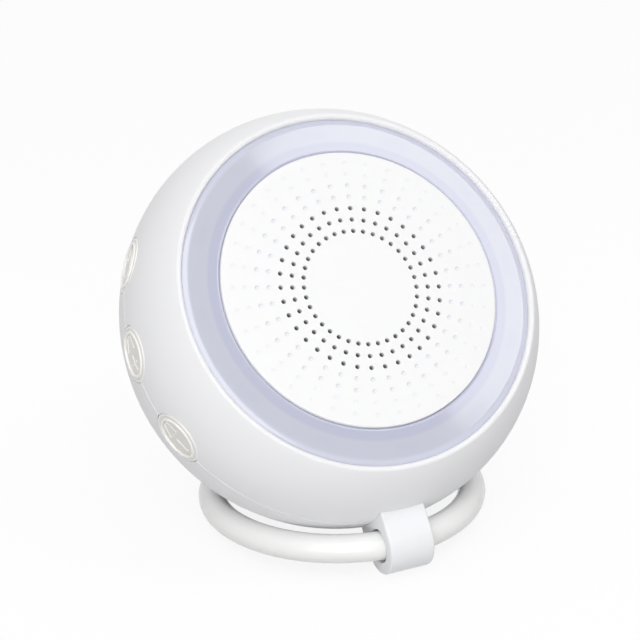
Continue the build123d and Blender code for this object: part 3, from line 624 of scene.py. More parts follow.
@dataclass(frozen=True)
class Diffuser:
    """Glossy tinted ring over a row of lights, with painted light over its skirt, painted shade beside the
    disc and painted shadows of the light modules.

    Args:
        middle: tint of the wide middle band.
        inner: painted shade tint of the band beside the disc.
        outer: painted light tint over the skirt.
        bands: radii in millimetres where the middle band begins and ends.
        softness: width in millimetres of the change from band to band.
        modules: number of light modules, whose shadows are painted faintly into the tint.
        module_radius: radius of the modules' circle in millimetres.
        module_size: reach of each module's painted shadow in millimetres.
        module_shade: how much of the inner tint a module's painted shadow takes.
    """

    middle: Colour = (0.53, 0.545, 0.635)
    inner: Colour = (0.475, 0.49, 0.62)
    outer: Colour = (0.605, 0.62, 0.73)
    bands: tuple[float, float] = (32.3, 36.25)
    softness: float = 0.5
    modules: int = 12
    module_radius: float = 34.2
    module_size: float = 2.2
    module_shade: float = 0.22

    def make(self, name: str, body: BodyFrame) -> bpy.types.Material:
        """Build the material; the body's frame centres the bands."""
        bench = Bench(name)
        across, along, _ = bench.axes(bench.position(body.centre, body.turn))
        radius = along.reach(across)
        first, last = self.bands
        # Painted shadows of the light modules behind the ring.
        beat = (along.bearing(across) * float(self.modules)).wave()
        from_circle = (radius - self.module_radius).size()
        module_painted_shadow = beat.ramp(0.2, 1.0) * (1 - from_circle.ramp(0.0, self.module_size))
        cloud = bench.grain(bench.position(), 9.0, 2.0)
        # Painted shade beside the disc, taken together with the modules' painted shadows and random clouds.
        disc_painted_shade = 1 - radius.ramp(first - self.softness, first + self.softness)
        share = disc_painted_shade.larger(module_painted_shadow * self.module_shade + cloud * 0.08)
        body_tint = bench.blend(share, self.middle, self.inner)
        # Painted light over the skirt.
        skirt_painted_light = radius.ramp(last - self.softness, last + self.softness)
        bench.set(Base_Color=bench.mixed(skirt_painted_light, body_tint, (*self.outer, 1)),
                  Roughness=0.12 + cloud * 0.03,
                  Specular_IOR_Level=0.5, IOR=1.49, Coat_Weight=1.0, Coat_Roughness=0.08)
        bench.relief(bench.grain(bench.position(), 0.5, 2.0), 0.0008)
        return bench.material


@dataclass(frozen=True)
class Board:
    """Circuit board lacquer with faint copper tracks under it.

    Args:
        colour: lacquer colour.
        track: colour over a copper track.
    """

    colour: Colour = (0.02, 0.13, 0.05)
    track: Colour = (0.05, 0.22, 0.09)

    def make(self, name: str) -> bpy.types.Material:
        """Build the material."""
        bench = Bench(name)
        place = bench.position()
        tracks = bench.node("ShaderNodeTexBrick", {"offset": 0.5},
                            {"Vector": place, "Scale": 0.45, "Mortar Size": 0.03}, output="Fac")
        bench.set(Base_Color=bench.blend(tracks, self.colour, self.track), Roughness=0.3 + tracks * 0.1)
        bench.relief(tracks, 0.02)
        return bench.material


@dataclass(frozen=True)
class Foam:
    """Open-cell foam or felt.

    Args:
        colour: base colour.
    """

    colour: Colour

    def make(self, name: str) -> bpy.types.Material:
        """Build the material."""
        bench = Bench(name)
        place = bench.position()
        cells = bench.node("ShaderNodeTexVoronoi", {"feature": "F1"}, {"Vector": place, "Scale": 3.0},
                           output="Distance")
        low = tuple(channel * 0.5 for channel in self.colour)
        bench.set(Base_Color=bench.blend(cells, low, self.colour), Roughness=0.95)
        bench.relief(cells, 0.15)
        return bench.material


class Slot(Enum):
    """Material slots of the record."""

    SHELL = "white_shell"
    DISC = "speaker_disc"
    DIFFUSER = "diffuser"
    LUG = "lug_plastic"
    RING = "ring_rubber"
    BUTTON = "button_rubber"
    INNER_WHITE = "white_inner_plastic"
    INNER_BLACK = "black_inner_plastic"
    BOARD = "circuit_board"
    FLEX = "flex_circuit"
    LED = "led_body"
    COMPONENT = "components"
    FOAM = "foam"
    PRESSED = "pressed_steel"
    PAPER = "speaker_paper"
    COIL = "copper_coil"
    FERRITE = "ferrite"
    ZINC = "zinc_steel"
    SCREW = "screw_steel"
    SOCKET = "socket_steel"
    BATTERY = "battery_foil"
    LEAD = "lead_sleeve"


def paint_box(body: BodyFrame) -> dict[Slot, bpy.types.Material]:
    """Build one material for each slot.

    Args:
        body: the body's frame, which centres patterns that follow the face.

    Returns:
        The material of each slot.
    """
    mouldings = {
        Slot.SHELL: Moulding((0.91, 0.91, 0.925), 0.46, depth=0.003, specular=0.16),
        Slot.DISC: DiscPlastic((0.91, 0.91, 0.915), 0.5, depth=0.003, body=body),
        Slot.LUG: Moulding((0.89, 0.90, 0.92), 0.32, depth=0.002),
        Slot.RING: Moulding((0.94, 0.94, 0.93), 0.16, spread=0.02, depth=0.002, grain=0.6, glow=0.1),
        Slot.BUTTON: ButtonRubber((0.80, 0.785, 0.74), 0.3, depth=0.003, glow=0.04),
        Slot.INNER_WHITE: Moulding((0.82, 0.82, 0.79), 0.55),
        Slot.INNER_BLACK: Moulding((0.02, 0.02, 0.022), 0.5),
        Slot.FLEX: Moulding((0.45, 0.19, 0.03), 0.35),
        Slot.LED: Moulding((0.85, 0.78, 0.42), 0.3, grain=0.8),
        Slot.COMPONENT: Moulding((0.02, 0.02, 0.022), 0.4),
        Slot.PAPER: Moulding((0.018, 0.018, 0.018), 0.8, grain=0.6, depth=0.05),
        Slot.LEAD: Moulding((0.30, 0.012, 0.010), 0.45, grain=0.5, depth=0.006),
    }
    metals = {
        Slot.PRESSED: Metal((0.05, 0.05, 0.055), 0.4, 0.0),
        Slot.COIL: Metal((0.72, 0.30, 0.12), 0.35),
        Slot.FERRITE: Metal((0.04, 0.04, 0.042), 0.6, 0.2),
        Slot.ZINC: Metal((0.62, 0.63, 0.66), 0.35),
        Slot.SCREW: Metal((0.45, 0.46, 0.48), 0.35),
        Slot.SOCKET: Metal((0.66, 0.67, 0.70), 0.28),
        Slot.BATTERY: Metal((0.58, 0.59, 0.62), 0.4, 0.8),
    }
    made = {slot: finish.make(slot.value) for slot, finish in {**mouldings, **metals}.items()}
    made[Slot.DIFFUSER] = Diffuser().make(Slot.DIFFUSER.value, body)
    made[Slot.BOARD] = Board().make(Slot.BOARD.value)
    made[Slot.FOAM] = Foam((0.03, 0.03, 0.033)).make(Slot.FOAM.value)
    return made


# ------------------------------------------------------------------ what every sub-assembly uses
@dataclass
class Workshop:
    """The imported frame, the body's own frame and the materials, shared by every sub-assembly.

    Args:
        body: the body's own frame.
        paints: one material for each slot.
    """

    frame: dict
    body: BodyFrame
    paints: dict[Slot, bpy.types.Material]

    def body_of(self, node: str) -> str:
        """Name of the moving body that carries a CAD node."""
        bodies = self.frame["record"]["behaviour"]["bodies"]
        return next(name for name, nodes in bodies.items() if node in nodes)

    def fit(self, piece: bpy.types.Object, node: str, slot: Slot) -> None:
        """Finish a fine piece that stands for a CAD node: paint it, name its slot and let it ride.

        Args:
            piece: the fine piece.
            node: the CAD node that it stands for.
            slot: its material slot.
        """
        piece.data.materials.clear()
        piece.data.materials.append(self.paints[slot])
        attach(piece, self.body_of(node))
        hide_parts(node)
        log.info("%s stands for %s: %d faces, %s", piece.name, node, len(piece.data.polygons), slot.value)


# ------------------------------------------------------------------ housing
@dataclass
class Housing:
    """The two shells that meet at the seam, with their button seats, lug slot, port and screw wells.

    Args:
        radius: widest radius, at the seam.
        front_arc: radius of the front shell's outer arc.
        rear_arc: radius of the rear shell's shoulder arc.
        rear_depth: seam to the back of the dome.
        wall: wall thickness.
        crest: height over the seam of the centre of the front rim's rounded crest, and its radius.
        ledge: inner radius, top and thickness of the ledge under the light ring.
        tongue: thickness and height of the seam tongue.
        gap: clearance between the tongue and its rebate.
        chamfer: small chamfer on both sides of the seam.
        seat: radius of a button's seat.
        angles: the buttons' places round the seam, in degrees.
        lug_slot: width along the face axis, width along X, and depth of the lug's slot.
        screws: places of the screw wells, in degrees.
        screw_ring: radius of the circle of screws.
        well: radius and floor height of a screw well.
        port: slot and seat of the charging port, each along the face axis and along X.
        port_height: height of the port's middle.
        port_floor: distance of the seat's floor from the body's centre.
        steps: facets round a shell.
    """

    radius: float = 45.0
    front_arc: float = 28.3
    rear_arc: float = 36.0
    rear_depth: float = 42.5
    wall: float = 1.8
    crest: tuple[float, float] = (17.26, 0.7)
    ledge: tuple[float, float, float] = (35.2, 14.6, 1.4)
    tongue: tuple[float, float] = (0.85, 1.2)
    gap: float = 0.1
    chamfer: float = 0.22
    seat: float = 6.0
    angles: tuple[float, ...] = (155, 180, 205, 25, 0, -25)
    lug_slot: tuple[float, float, float] = (12.16, 10.16, 8.0)
    screws: tuple[float, ...] = (58, 122, 230, 310)
    screw_ring: float = 37.0
    well: tuple[float, float] = (3.1, -15.0)
    port: tuple[tuple[float, float], tuple[float, float]] = ((3.9, 9.6), (6.8, 12.4))
    port_height: float = -12.2
    port_floor: float = 42.0
    steps: int = 240

    @property
    def front_centre(self) -> float:
        """Radius of the front arc's centre."""
        return self.radius - self.front_arc

    @property
    def shoulder_centre(self) -> float:
        """Radius of the rear shoulder arc's centre."""
        return self.radius - self.rear_arc

    @property
    def cap_radius(self) -> float:
        """Radius of the rear dome, tangent to the shoulder arc and as deep as the shell."""
        return ((self.shoulder_centre ** 2 + self.rear_depth ** 2 - self.rear_arc ** 2)
                / (2 * (self.rear_depth - self.rear_arc)))

    def front_profile(self) -> bmesh.types.BMesh:
        """Spin the front shell."""
        centre = self.front_centre
        inner = self.front_arc - self.wall
        foot = math.degrees(math.asin(self.chamfer / self.front_arc))
        crest_height, crest_round = self.crest
        top = math.degrees(math.asin(crest_height / (self.front_arc - crest_round)))
        crest_radius = centre + (self.front_arc - crest_round) * math.cos(math.radians(top))
        opening = crest_radius - crest_round
        ledge_radius, ledge_top, ledge_thickness = self.ledge
        tongue_thickness, tongue_height = self.tongue
        bottom = ledge_top - ledge_thickness
        inner_top = math.degrees(math.asin(bottom / inner))
        wall_radius = self.radius - self.wall
        pen = Pen(centre + self.front_arc * math.cos(math.radians(foot)), self.chamfer)
        pen.arc(centre, 0, top - foot, 40)
        pen.arc(crest_radius, crest_height, 180 - top, 12)
        pen.line(opening, ledge_top).line(ledge_radius, ledge_top).line(ledge_radius, bottom)
        pen.line(centre + inner * math.cos(math.radians(inner_top)), bottom)
        pen.arc(centre, 0, -inner_top, 12)
        pen.line(wall_radius, -tongue_height).line(wall_radius + tongue_thickness, -tongue_height)
        pen.line(wall_radius + tongue_thickness, 0).line(self.radius - self.chamfer, 0)
        return pen.close().spin(self.steps)

    def rear_profile(self) -> bmesh.types.BMesh:
        """Spin the rear shell."""
        cap = self.cap_radius
        cap_centre = cap - self.rear_depth
        turn = math.degrees(math.atan2(cap_centre, self.shoulder_centre))
        foot = math.degrees(math.asin(self.chamfer / self.rear_arc))
        tongue_thickness, tongue_height = self.tongue
        rebate = tongue_height + self.gap
        rebate_radius = self.radius - self.wall + tongue_thickness + self.gap
        inner = self.rear_arc - self.wall
        inner_foot = math.degrees(math.asin(rebate / inner))
        pen = Pen(self.shoulder_centre + self.rear_arc * math.cos(math.radians(foot)), -self.chamfer)
        pen.arc(self.shoulder_centre, 0, foot - turn, 36)
        pen.arc(0, cap_centre, turn - 90, 36)
        pen.line(0, self.wall - self.rear_depth)
        pen.arc(0, cap_centre, 90 - turn, 16)
        pen.arc(self.shoulder_centre, 0, turn - inner_foot, 16)
        pen.line(rebate_radius, -rebate).line(rebate_radius, 0).line(self.radius - self.chamfer, 0)
        return pen.close().spin(self.steps)

    def seats(self, body: BodyFrame) -> bmesh.types.BMesh:
        """Cutters of the button seats and the lug's slot, shared by both shells."""
        cutters = bmesh.new()
        for angle in self.angles:
            merge(cutters, drum(self.seat, self.radius - 6, self.radius + 6, 96), body.spoke(angle))
        across, along, depth = self.lug_slot
        merge(cutters, rounded_bar(across, along, 2 * depth, 0.05, 1),
              body.spoke(270) @ Matrix.Translation((0, 0, self.radius - depth)))
        return cutters

    def wells(self, body: BodyFrame) -> bmesh.types.BMesh:
        """Cutters of the screw wells and the charging port in the rear shell."""
        cutters = bmesh.new()
        radius, floor = self.well
        for angle in self.screws:
            turn = math.radians(angle)
            place = Vector((math.cos(turn), math.sin(turn), 0)) * self.screw_ring
            merge(cutters, drum(radius, -self.rear_depth, floor, 48), Matrix.Translation(place))
        (slot_high, slot_wide), (seat_high, seat_wide) = self.port
        outward = body.spoke(90)
        merge(cutters, rounded_bar(seat_high, seat_wide, 7.4, seat_high / 2 - 0.05, 10),
              outward @ Matrix.Translation((self.port_height, 0, self.port_floor)))
        merge(cutters, rounded_bar(slot_high, slot_wide, 8.0, slot_high / 2 - 0.05, 10),
              outward @ Matrix.Translation((self.port_height, 0, self.port_floor - 7.7)))
        return cutters

    def build(self, shop: Workshop) -> None:
        """Build both shells."""
        place = shop.body.place
        front = to_object("front_shell_fine", self.front_profile(), place)
        rear = to_object("rear_shell_fine", self.rear_profile(), place)
        carve(front, to_object("front_cutter", self.seats(shop.body), place))
        carve(rear, to_object("rear_cutter", self.seats(shop.body), place))
        carve(rear, to_object("well_cutter", self.wells(shop.body), place))
        for piece, node in ((front, "front_shell"), (rear, "rear_shell")):
            soften(piece)
            shop.fit(piece, node, Slot.SHELL)


# ------------------------------------------------------------------ speaker disc and light ring
@dataclass
class SpeakerDisc:
    """Flat disc with rings of sound holes that fade into shallow dimples towards its edge.

    Args:
        radius: outer radius.
        face: height of its face over the seam.
        thickness: plate thickness.
        skirt: thickness and height of the skirt under its edge.
        fillet: rounding of its front edge.
        holes: number of holes in each ring.
        first_ring: radius of the innermost ring.
        pitch: distance from ring to ring.
        open_rings: number of rings that go through.
        dimple_rings: number of rings of dimples.
        hole: radius of a hole.
        dimple: radius and depth of a dimple.
        segments: facets of a hole.
        sector_steps: facets of the disc's edge for each spoke of holes.
    """

    radius: float = 29.7
    face: float = FACE_HEIGHT
    thickness: float = 1.8
    skirt: tuple[float, float] = (1.6, 1.5)
    fillet: float = 0.3
    holes: int = HOLES_PER_RING
    first_ring: float = FIRST_HOLE_RING
    pitch: float = HOLE_PITCH
    open_rings: int = OPEN_RINGS
    dimple_rings: int = 4
    hole: float = 0.5
    dimple: tuple[float, float] = (0.5, 0.12)
    segments: int = 16
    sector_steps: int = 6

    def sector(self, outer: float, height: float, rings: int) -> tuple[bmesh.types.BMesh, list]:
        """Fill one spoke's sector of the plate round its holes.

        Args:
            outer: outer radius of the sector.
            height: height of the sector.
            rings: number of holes along the spoke.

        Returns:
            The sector's mesh and the list of each hole's edges, from the middle out.
        """
        mesh = bmesh.new()
        half = math.pi / self.holes
        middle = mesh.verts.new((0, 0, height))
        first = mesh.verts.new((outer * math.cos(half), -outer * math.sin(half), height))
        made = bmesh.ops.spin(mesh, geom=[first], cent=(0, 0, 0), axis=(0, 0, 1), angle=2 * half,
                              steps=self.sector_steps, use_merge=False)
        last = next(item for item in made["geom_last"] if isinstance(item, bmesh.types.BMVert))
        mesh.edges.new((middle, first))
        mesh.edges.new((middle, last))
        loops = []
        for ring in range(rings):
            radius = self.hole if ring < self.open_rings else self.dimple[0]
            place = Matrix.Translation((self.first_ring + ring * self.pitch, 0, height))
            circle = bmesh.ops.create_circle(mesh, cap_ends=False, radius=radius, segments=self.segments,
                                             matrix=place)["verts"]
            loops.append(list({edge for vert in circle for edge in vert.link_edges}))
        bmesh.ops.triangle_fill(mesh, use_beauty=True, edges=mesh.edges[:], normal=(0, 0, 1))
        return mesh, loops

    def pulled(self, mesh: bmesh.types.BMesh, edges: list, depth: float) -> list:
        """Draw a hole's wall down by a depth and return the edges at its foot."""
        made = bmesh.ops.extrude_edge_only(mesh, edges=edges)["geom"]
        moved = [item for item in made if isinstance(item, bmesh.types.BMVert)]
        bmesh.ops.translate(mesh, vec=(0, 0, -depth), verts=moved)
        return [item for item in made if isinstance(item, bmesh.types.BMEdge)
                and all(vert in moved for vert in item.verts)]

    def mesh(self) -> bmesh.types.BMesh:
        """Build the whole disc."""
        skirt_thickness, skirt_height = self.skirt
        plate, loops = self.sector(self.radius - self.fillet, self.face, self.open_rings + self.dimple_rings)
        for edges in loops[:self.open_rings]:
            self.pulled(plate, edges, self.thickness)
        for edges in loops[self.open_rings:]:
            bmesh.ops.edgeloop_fill(plate, edges=self.pulled(plate, edges, self.dimple[1]))
        under, _ = self.sector(self.radius - skirt_thickness, self.face - self.thickness, self.open_rings)
        merge(plate, under)
        bmesh.ops.spin(plate, geom=plate.verts[:] + plate.edges[:] + plate.faces[:], cent=(0, 0, 0),
                       axis=(0, 0, 1), angle=FULL_TURN, steps=self.holes, use_duplicate=True, use_merge=False)
        foot = self.face - self.thickness - skirt_height
        pen = Pen(self.radius - self.fillet, self.face)
        pen.arc(self.radius - self.fillet, self.face - self.fillet, -90, 6)
        pen.line(self.radius, foot).line(self.radius - skirt_thickness, foot)
        pen.line(self.radius - skirt_thickness, self.face - self.thickness)
        rim = pen.spin(self.holes * self.sector_steps)
        merge(plate, rim)
        tidy(plate, 2e-3)
        return plate

    def build(self, shop: Workshop) -> None:
        """Build the disc."""
        piece = to_object("speaker_disc_fine", self.mesh(), shop.body.place)
        shop.fit(piece, "speaker_grille", Slot.DISC)


@dataclass
class LightRing:
    """Translucent ring with a sloped face between two bevels.

    Args:
        inner: inner radius and height of the face there.
        outer: outer radius and height of the face there.
        inner_bevel: width and drop of the bevel beside the disc.
        outer_bevel: width and drop of the bevel beside the housing.
        thickness: thickness of the face.
        skirt: thickness of the outer skirt and height of its foot.
        edge: rounding of the bevels' edges.
        flat: width of the strips beside the bevels, which keep the shading of the face flat.
        steps: facets round the ring.
    """

    inner: tuple[float, float] = (29.75, 17.75)
    outer: tuple[float, float] = (37.55, 17.25)
    inner_bevel: tuple[float, float] = (0.5, 0.15)
    outer_bevel: tuple[float, float] = (1.1, 0.27)
    thickness: float = 1.8
    skirt: tuple[float, float] = (1.5, 14.6)
    edge: float = 0.14
    flat: float = 0.3
    steps: int = 240

    def build(self, shop: Workshop) -> None:
        """Build the ring."""
        (inner, inner_top), (outer, outer_top) = self.inner, self.outer
        skirt_thickness, foot = self.skirt
        inner_width, inner_drop = self.inner_bevel
        outer_width, outer_drop = self.outer_bevel
        pen = Pen(inner, inner_top - inner_drop)
        slope = (outer_top - inner_top) / (outer - outer_width - inner - inner_width)
        pen.line(inner + inner_width, inner_top)
        pen.line(inner + inner_width + self.flat, inner_top + self.flat * slope)
        pen.line(outer - outer_width - self.flat, outer_top - self.flat * slope)
        pen.line(outer - outer_width, outer_top)
        pen.line(outer, outer_top - outer_drop).line(outer, foot).line(outer - skirt_thickness, foot)
        pen.line(outer - skirt_thickness, outer_top - self.thickness).line(inner, inner_top - self.thickness)
        mesh = pen.close().spin(self.steps)
        sharp = [edge for edge in mesh.edges if edge.calc_face_angle(0.0) > math.radians(15)]
        round_edges(mesh, sharp, self.edge, 3)
        shop.fit(to_object("light_ring_fine", mesh, shop.body.place), "light_ring", Slot.DIFFUSER)


# ------------------------------------------------------------------ buttons
class Icon(Enum):
    """Raised line signs on the buttons, as strokes of (towards the face, clockwise) points in millimetres."""

    POWER = "power_button"
    LOUDER = "volume_up_button"
    SOFTER = "volume_down_button"
    TIMER = "timer_button"
    SOUND = "sound_button"
    LIGHT = "light_button"

    @staticmethod
    def arc(centre: tuple[float, float], radius: float, start: float, sweep: float, steps: int = 20) -> list:
        """Points of an arc; angles in degrees from the face's direction."""
        turns = [math.radians(start + sweep * step / steps) for step in range(steps + 1)]
        return [(centre[0] + radius * math.cos(turn), centre[1] + radius * math.sin(turn)) for turn in turns]

    def strokes(self, flip: float) -> list[list[tuple[float, float]]]:
        """Strokes of the sign; flip is -1 where clockwise points down and the sign has to stand upright."""
        horn = [(-0.75, 3.1), (-1.6, 0.75), (1.6, 0.75), (0.75, 3.1), (-0.75, 3.1)]
        signs = {
            Icon.POWER: [self.arc((0, -0.1), 2.2, 125, 290), [(0, 0.6), (0, 2.9)]],
            Icon.LOUDER: [horn, [(-1.15, -1.5), (1.15, -1.5)], [(0, -0.15), (0, -2.85)]],
            Icon.SOFTER: [horn, [(0, -0.15), (0, -2.85)]],
            Icon.TIMER: [self.arc((0, 0), 2.5, 0, 360, 40), [(0, 1.6), (0, 0), (1.2, -0.5)]],
            Icon.SOUND: [self.arc((0, -2.0), 1.2, 40, 100), self.arc((0, -2.0), 2.6, 40, 100),
                         self.arc((0, -2.0), 4.0, 40, 100)],
            Icon.LIGHT: [self.arc((0, 0), 1.2, 0, 360, 30)] + [
                [tuple(reach * value for value in spoke) for reach in (1.9, 2.9)]
                for spoke in self.arc((0, 0), 1.0, 0, 315, 7)],
        }
        return [[(SIGN_SCALE * across, SIGN_SCALE * flip * round_rim) for across, round_rim in stroke]
                for stroke in signs[self]]


@dataclass
class Button:
    """Silicone button: rounded rim, shallow groove, raised bead and a dished field with a raised sign.

    Args:
        icon: the sign, whose value is the CAD node's name.
        angle: place round the seam, in degrees.
        radius: outer radius.
        top: distance of the crown from the body's centre.
        dome: radius of the crown's dome.
        bead: inner and outer radius of the raised bead.
        dish: depth of the field under the crown.
        flange: radius, top and foot of the hidden flange.
        stem: radius and foot of the stem.
        line: thickness of the sign's strokes.
        steps: facets round the button.
    """

    icon: Icon
    angle: float
    radius: float = 5.9
    top: float = 45.25
    dome: float = 25.0
    bead: tuple[float, float] = (4.35, 4.8)
    dish: float = 0.41
    flange: tuple[float, float, float] = (6.9, 41.5, 40.7)
    stem: tuple[float, float] = (2.4, 37.65)
    line: float = 0.38
    steps: int = 96

    def crown(self, offset: float, drop: float = 0.0) -> float:
        """Height of the domed top at an offset from the middle, less a drop."""
        return self.top - drop - self.dome + math.sqrt(self.dome ** 2 - offset ** 2)

    def profile(self) -> bmesh.types.BMesh:
        """Spin the button about its own axis, from the middle of its field to its stem."""
        bead_in, bead_out = self.bead
        flange_radius, flange_top, flange_foot = self.flange
        stem_radius, stem_foot = self.stem
        pen = Pen(0, self.crown(0, self.dish))
        for share in (0.2, 0.4, 0.6, 0.8, 1.0):
            offset = (bead_in - 0.12) * share
            pen.line(offset, self.crown(offset, self.dish))
        middle = (bead_in + bead_out) / 2
        pen.line(bead_in, self.crown(bead_in, 0.08))
        pen.arc(middle, self.crown(middle, 0.08), -180, 10)
        pen.line(bead_out + 0.1, self.crown(bead_out + 0.1, 0.16))
        pen.line(self.radius - 0.5, self.crown(self.radius - 0.5, 0.14))
        pen.line(self.radius - 0.38, self.crown(self.radius - 0.38, 0.02))
        pen.line(self.radius - 0.3, self.crown(self.radius - 0.3))
        pen.arc(self.radius - 0.3, self.crown(self.radius - 0.3) - 0.3, -90, 6)
        pen.line(self.radius, flange_top).line(flange_radius, flange_top).line(flange_radius, flange_foot)
        pen.line(stem_radius, flange_foot).line(stem_radius, stem_foot).line(0, stem_foot)
        mesh = pen.spin(self.steps)
        # Marks the raised rim and bead, which get the rubber's painted highlight.
        raised = mesh.verts.layers.float.new(RAISED)
        for vert in mesh.verts:
            offset = math.hypot(vert.co.x, vert.co.y)
            on_bead = bead_in - 0.01 < offset < bead_out + 0.01
            on_rim = self.radius - 0.4 < offset < self.radius + 0.01
            vert[raised] = float(vert.co.z > flange_top and (on_bead or on_rim))
        return mesh

    def sign(self) -> bpy.types.Mesh:
        """Raise the sign's strokes as tubes half sunk in the dished field.

        Returns:
            The strokes as one mesh in the button's own frame.
        """
        flip = 1.0 if math.cos(math.radians(self.angle)) < 0 else -1.0
        curve = bpy.data.curves.new("strokes", "CURVE")
        curve.dimensions = "3D"
        curve.bevel_depth = self.line / 2
        curve.bevel_resolution = 3
        curve.use_fill_caps = True
        for stroke in self.icon.strokes(flip):
            spline = curve.splines.new("POLY")
            spline.points.add(len(stroke) - 1)
            for point, (across, round_rim) in zip(spline.points, stroke):
                height = self.crown(math.hypot(across, round_rim), self.dish)
                point.co = (across, round_rim, height, 1)
        holder = bpy.data.objects.new("strokes", curve)
        mesh = bpy.data.meshes.new_from_object(holder)
        bpy.data.objects.remove(holder)
        bpy.data.curves.remove(curve)
        return mesh

    def build(self, shop: Workshop) -> None:
        """Build the button with its sign."""
        node = self.icon.value
        mesh = self.profile()
        strokes = self.sign()
        turned = set(mesh.verts)
        mesh.from_mesh(strokes)
        # The sign's strokes get the painted highlight too.
        raised = mesh.verts.layers.float[RAISED]
        for vert in set(mesh.verts) - turned:
            vert[raised] = 1.0
        bpy.data.meshes.remove(strokes)
        piece = to_object(f"{node}_fine", mesh, shop.body.place @ shop.body.spoke(self.angle))
        shop.fit(piece, node, Slot.BUTTON)


# ------------------------------------------------------------------ hanging ring and its lug
@dataclass
class HangingRing:
    """Round rubber-coated ring that swings in the lug.

    Args:
        radius: centreline radius.
        tube: radius of the bar.
        steps: facets along the ring.
        facets: facets round the bar.
    """

    radius: float = 28.0
    tube: float = 3.0
    steps: int = 256
    facets: int = 48

    def build(self, shop: Workshop) -> None:
        """Build the ring round the middle of its CAD solid, in the plane of X and the line from its hinge."""
        low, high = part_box("hanging_ring")
        centre = (low + high) / 2
        moving = shop.body_of("hanging_ring")
        hinge = next(joint for joint in shop.frame["joints"] if joint["child"] == moving)
        towards = (centre - Vector(hinge["pos_m"])).normalized()
        across = Vector((1, 0, 0))
        place = (Matrix.Translation(centre) @ aligned(across, towards, across.cross(towards))
                 @ Matrix.Scale(MM, 4))
        mesh = bmesh.new()
        bmesh.ops.create_circle(mesh, cap_ends=False, radius=self.tube, segments=self.facets,
                                matrix=Matrix.Translation((self.radius, 0, 0))
                                @ Matrix.Rotation(math.pi / 2, 4, "X"))
        bmesh.ops.spin(mesh, geom=mesh.verts[:] + mesh.edges[:], cent=(0, 0, 0), axis=(0, 0, 1),
                       angle=FULL_TURN, steps=self.steps, use_merge=True)
        tidy(mesh)
        shop.fit(to_object("hanging_ring_fine", mesh, place), "hanging_ring", Slot.RING)


@dataclass
class RingLug:
    """Rounded lug with a cross bore, which stands out of the seam between the shells.

    Args:
        drop: body centre to the bore's axis.
        radius: outer radius round the bore.
        width: size along the bore.
        bore: bore radius.
        fillet: rounding of its outer edges.
        bore_fillet: rounding of the bore's edges.
        flange: size of the hidden flange along the face axis, along the bore and its thickness.
        flange_top: body centre to the flange's outer face.
    """

    drop: float = 49.78
    radius: float = 6.0
    width: float = 10.0
    bore: float = 3.55
    fillet: float = 0.5
    bore_fillet: float = 0.25
    flange: tuple[float, float, float] = (16.0, 14.0, 2.0)
    flange_top: float = 40.6

    def mesh(self) -> bmesh.types.BMesh:
        """Build the lug in the body's frame: its outline lies square to X, round the bore's axis."""
        mesh = bmesh.new()
        neck = self.drop - self.flange_top + self.flange[2] / 2
        start = mesh.verts.new((-self.width / 2, 0, self.radius))
        made = bmesh.ops.spin(mesh, geom=[start], cent=(-self.width / 2, 0, 0), axis=(1, 0, 0),
                              angle=math.pi, steps=40, use_merge=False)
        end = next(item for item in made["geom_last"] if isinstance(item, bmesh.types.BMVert))
        low = mesh.verts.new((-self.width / 2, neck, -self.radius))
        high = mesh.verts.new((-self.width / 2, neck, self.radius))
        joined = [mesh.edges.new(pair) for pair in ((end, low), (low, high), (high, start))]
        bmesh.ops.subdivide_edges(mesh, edges=joined, cuts=6)
        bmesh.ops.create_circle(mesh, cap_ends=False, radius=self.bore, segments=64,
                                matrix=Matrix.Translation((-self.width / 2, 0, 0))
                                @ Matrix.Rotation(math.pi / 2, 4, "Y"))
        bmesh.ops.bridge_loops(mesh, edges=mesh.edges[:])
        made = bmesh.ops.extrude_face_region(mesh, geom=mesh.faces[:], use_keep_orig=True)["geom"]
        bmesh.ops.translate(mesh, vec=(self.width, 0, 0),
                            verts=[item for item in made if isinstance(item, bmesh.types.BMVert)])
        tidy(mesh)
        flat = [edge for edge in mesh.edges if edge.calc_face_angle(0.0) > math.radians(60)
                and abs((edge.verts[0].co - edge.verts[1].co).x) < 1e-4]
        around_bore = [edge for edge in flat if math.hypot(*edge.verts[0].co.yz) < self.bore + 0.1]
        outside = [edge for edge in flat if edge not in set(around_bore)
                   and max(vert.co.y for vert in edge.verts) < neck - 0.01]
        round_edges(mesh, around_bore, self.bore_fillet, 4)
        outside = [edge for edge in outside if edge.is_valid]
        round_edges(mesh, outside, self.fillet, 5)
        bmesh.ops.translate(mesh, vec=(0, -self.drop, 0), verts=mesh.verts[:])
        high, wide, thick = self.flange
        merge(mesh, rounded_bar(wide, thick, high, 0.3, 3),
              Matrix.Translation((0, -self.flange_top + thick / 2, -high / 2)))
        return mesh

    def build(self, shop: Workshop) -> None:
        """Build the lug."""
        shop.fit(to_object("ring_lug_fine", self.mesh(), shop.body.place, 50.0), "ring_lug", Slot.LUG)


# ------------------------------------------------------------------ works inside, dressed as they are
@dataclass
class Works:
    """CAD pieces that keep their shape and only get their finish."""

    def build(self, shop: Workshop) -> None:
        """Paint each CAD node with the material of its slot."""
        slots = {part["node"]: Slot(part["material_slot"]) for part in shop.frame["record"]["subparts"]}
        for name, node in shop.frame["nodes"].items():
            node.data.materials.clear()
            node.data.materials.append(shop.paints[slots[name]])
            log.info("%s is dressed as %s", name, slots[name].value)


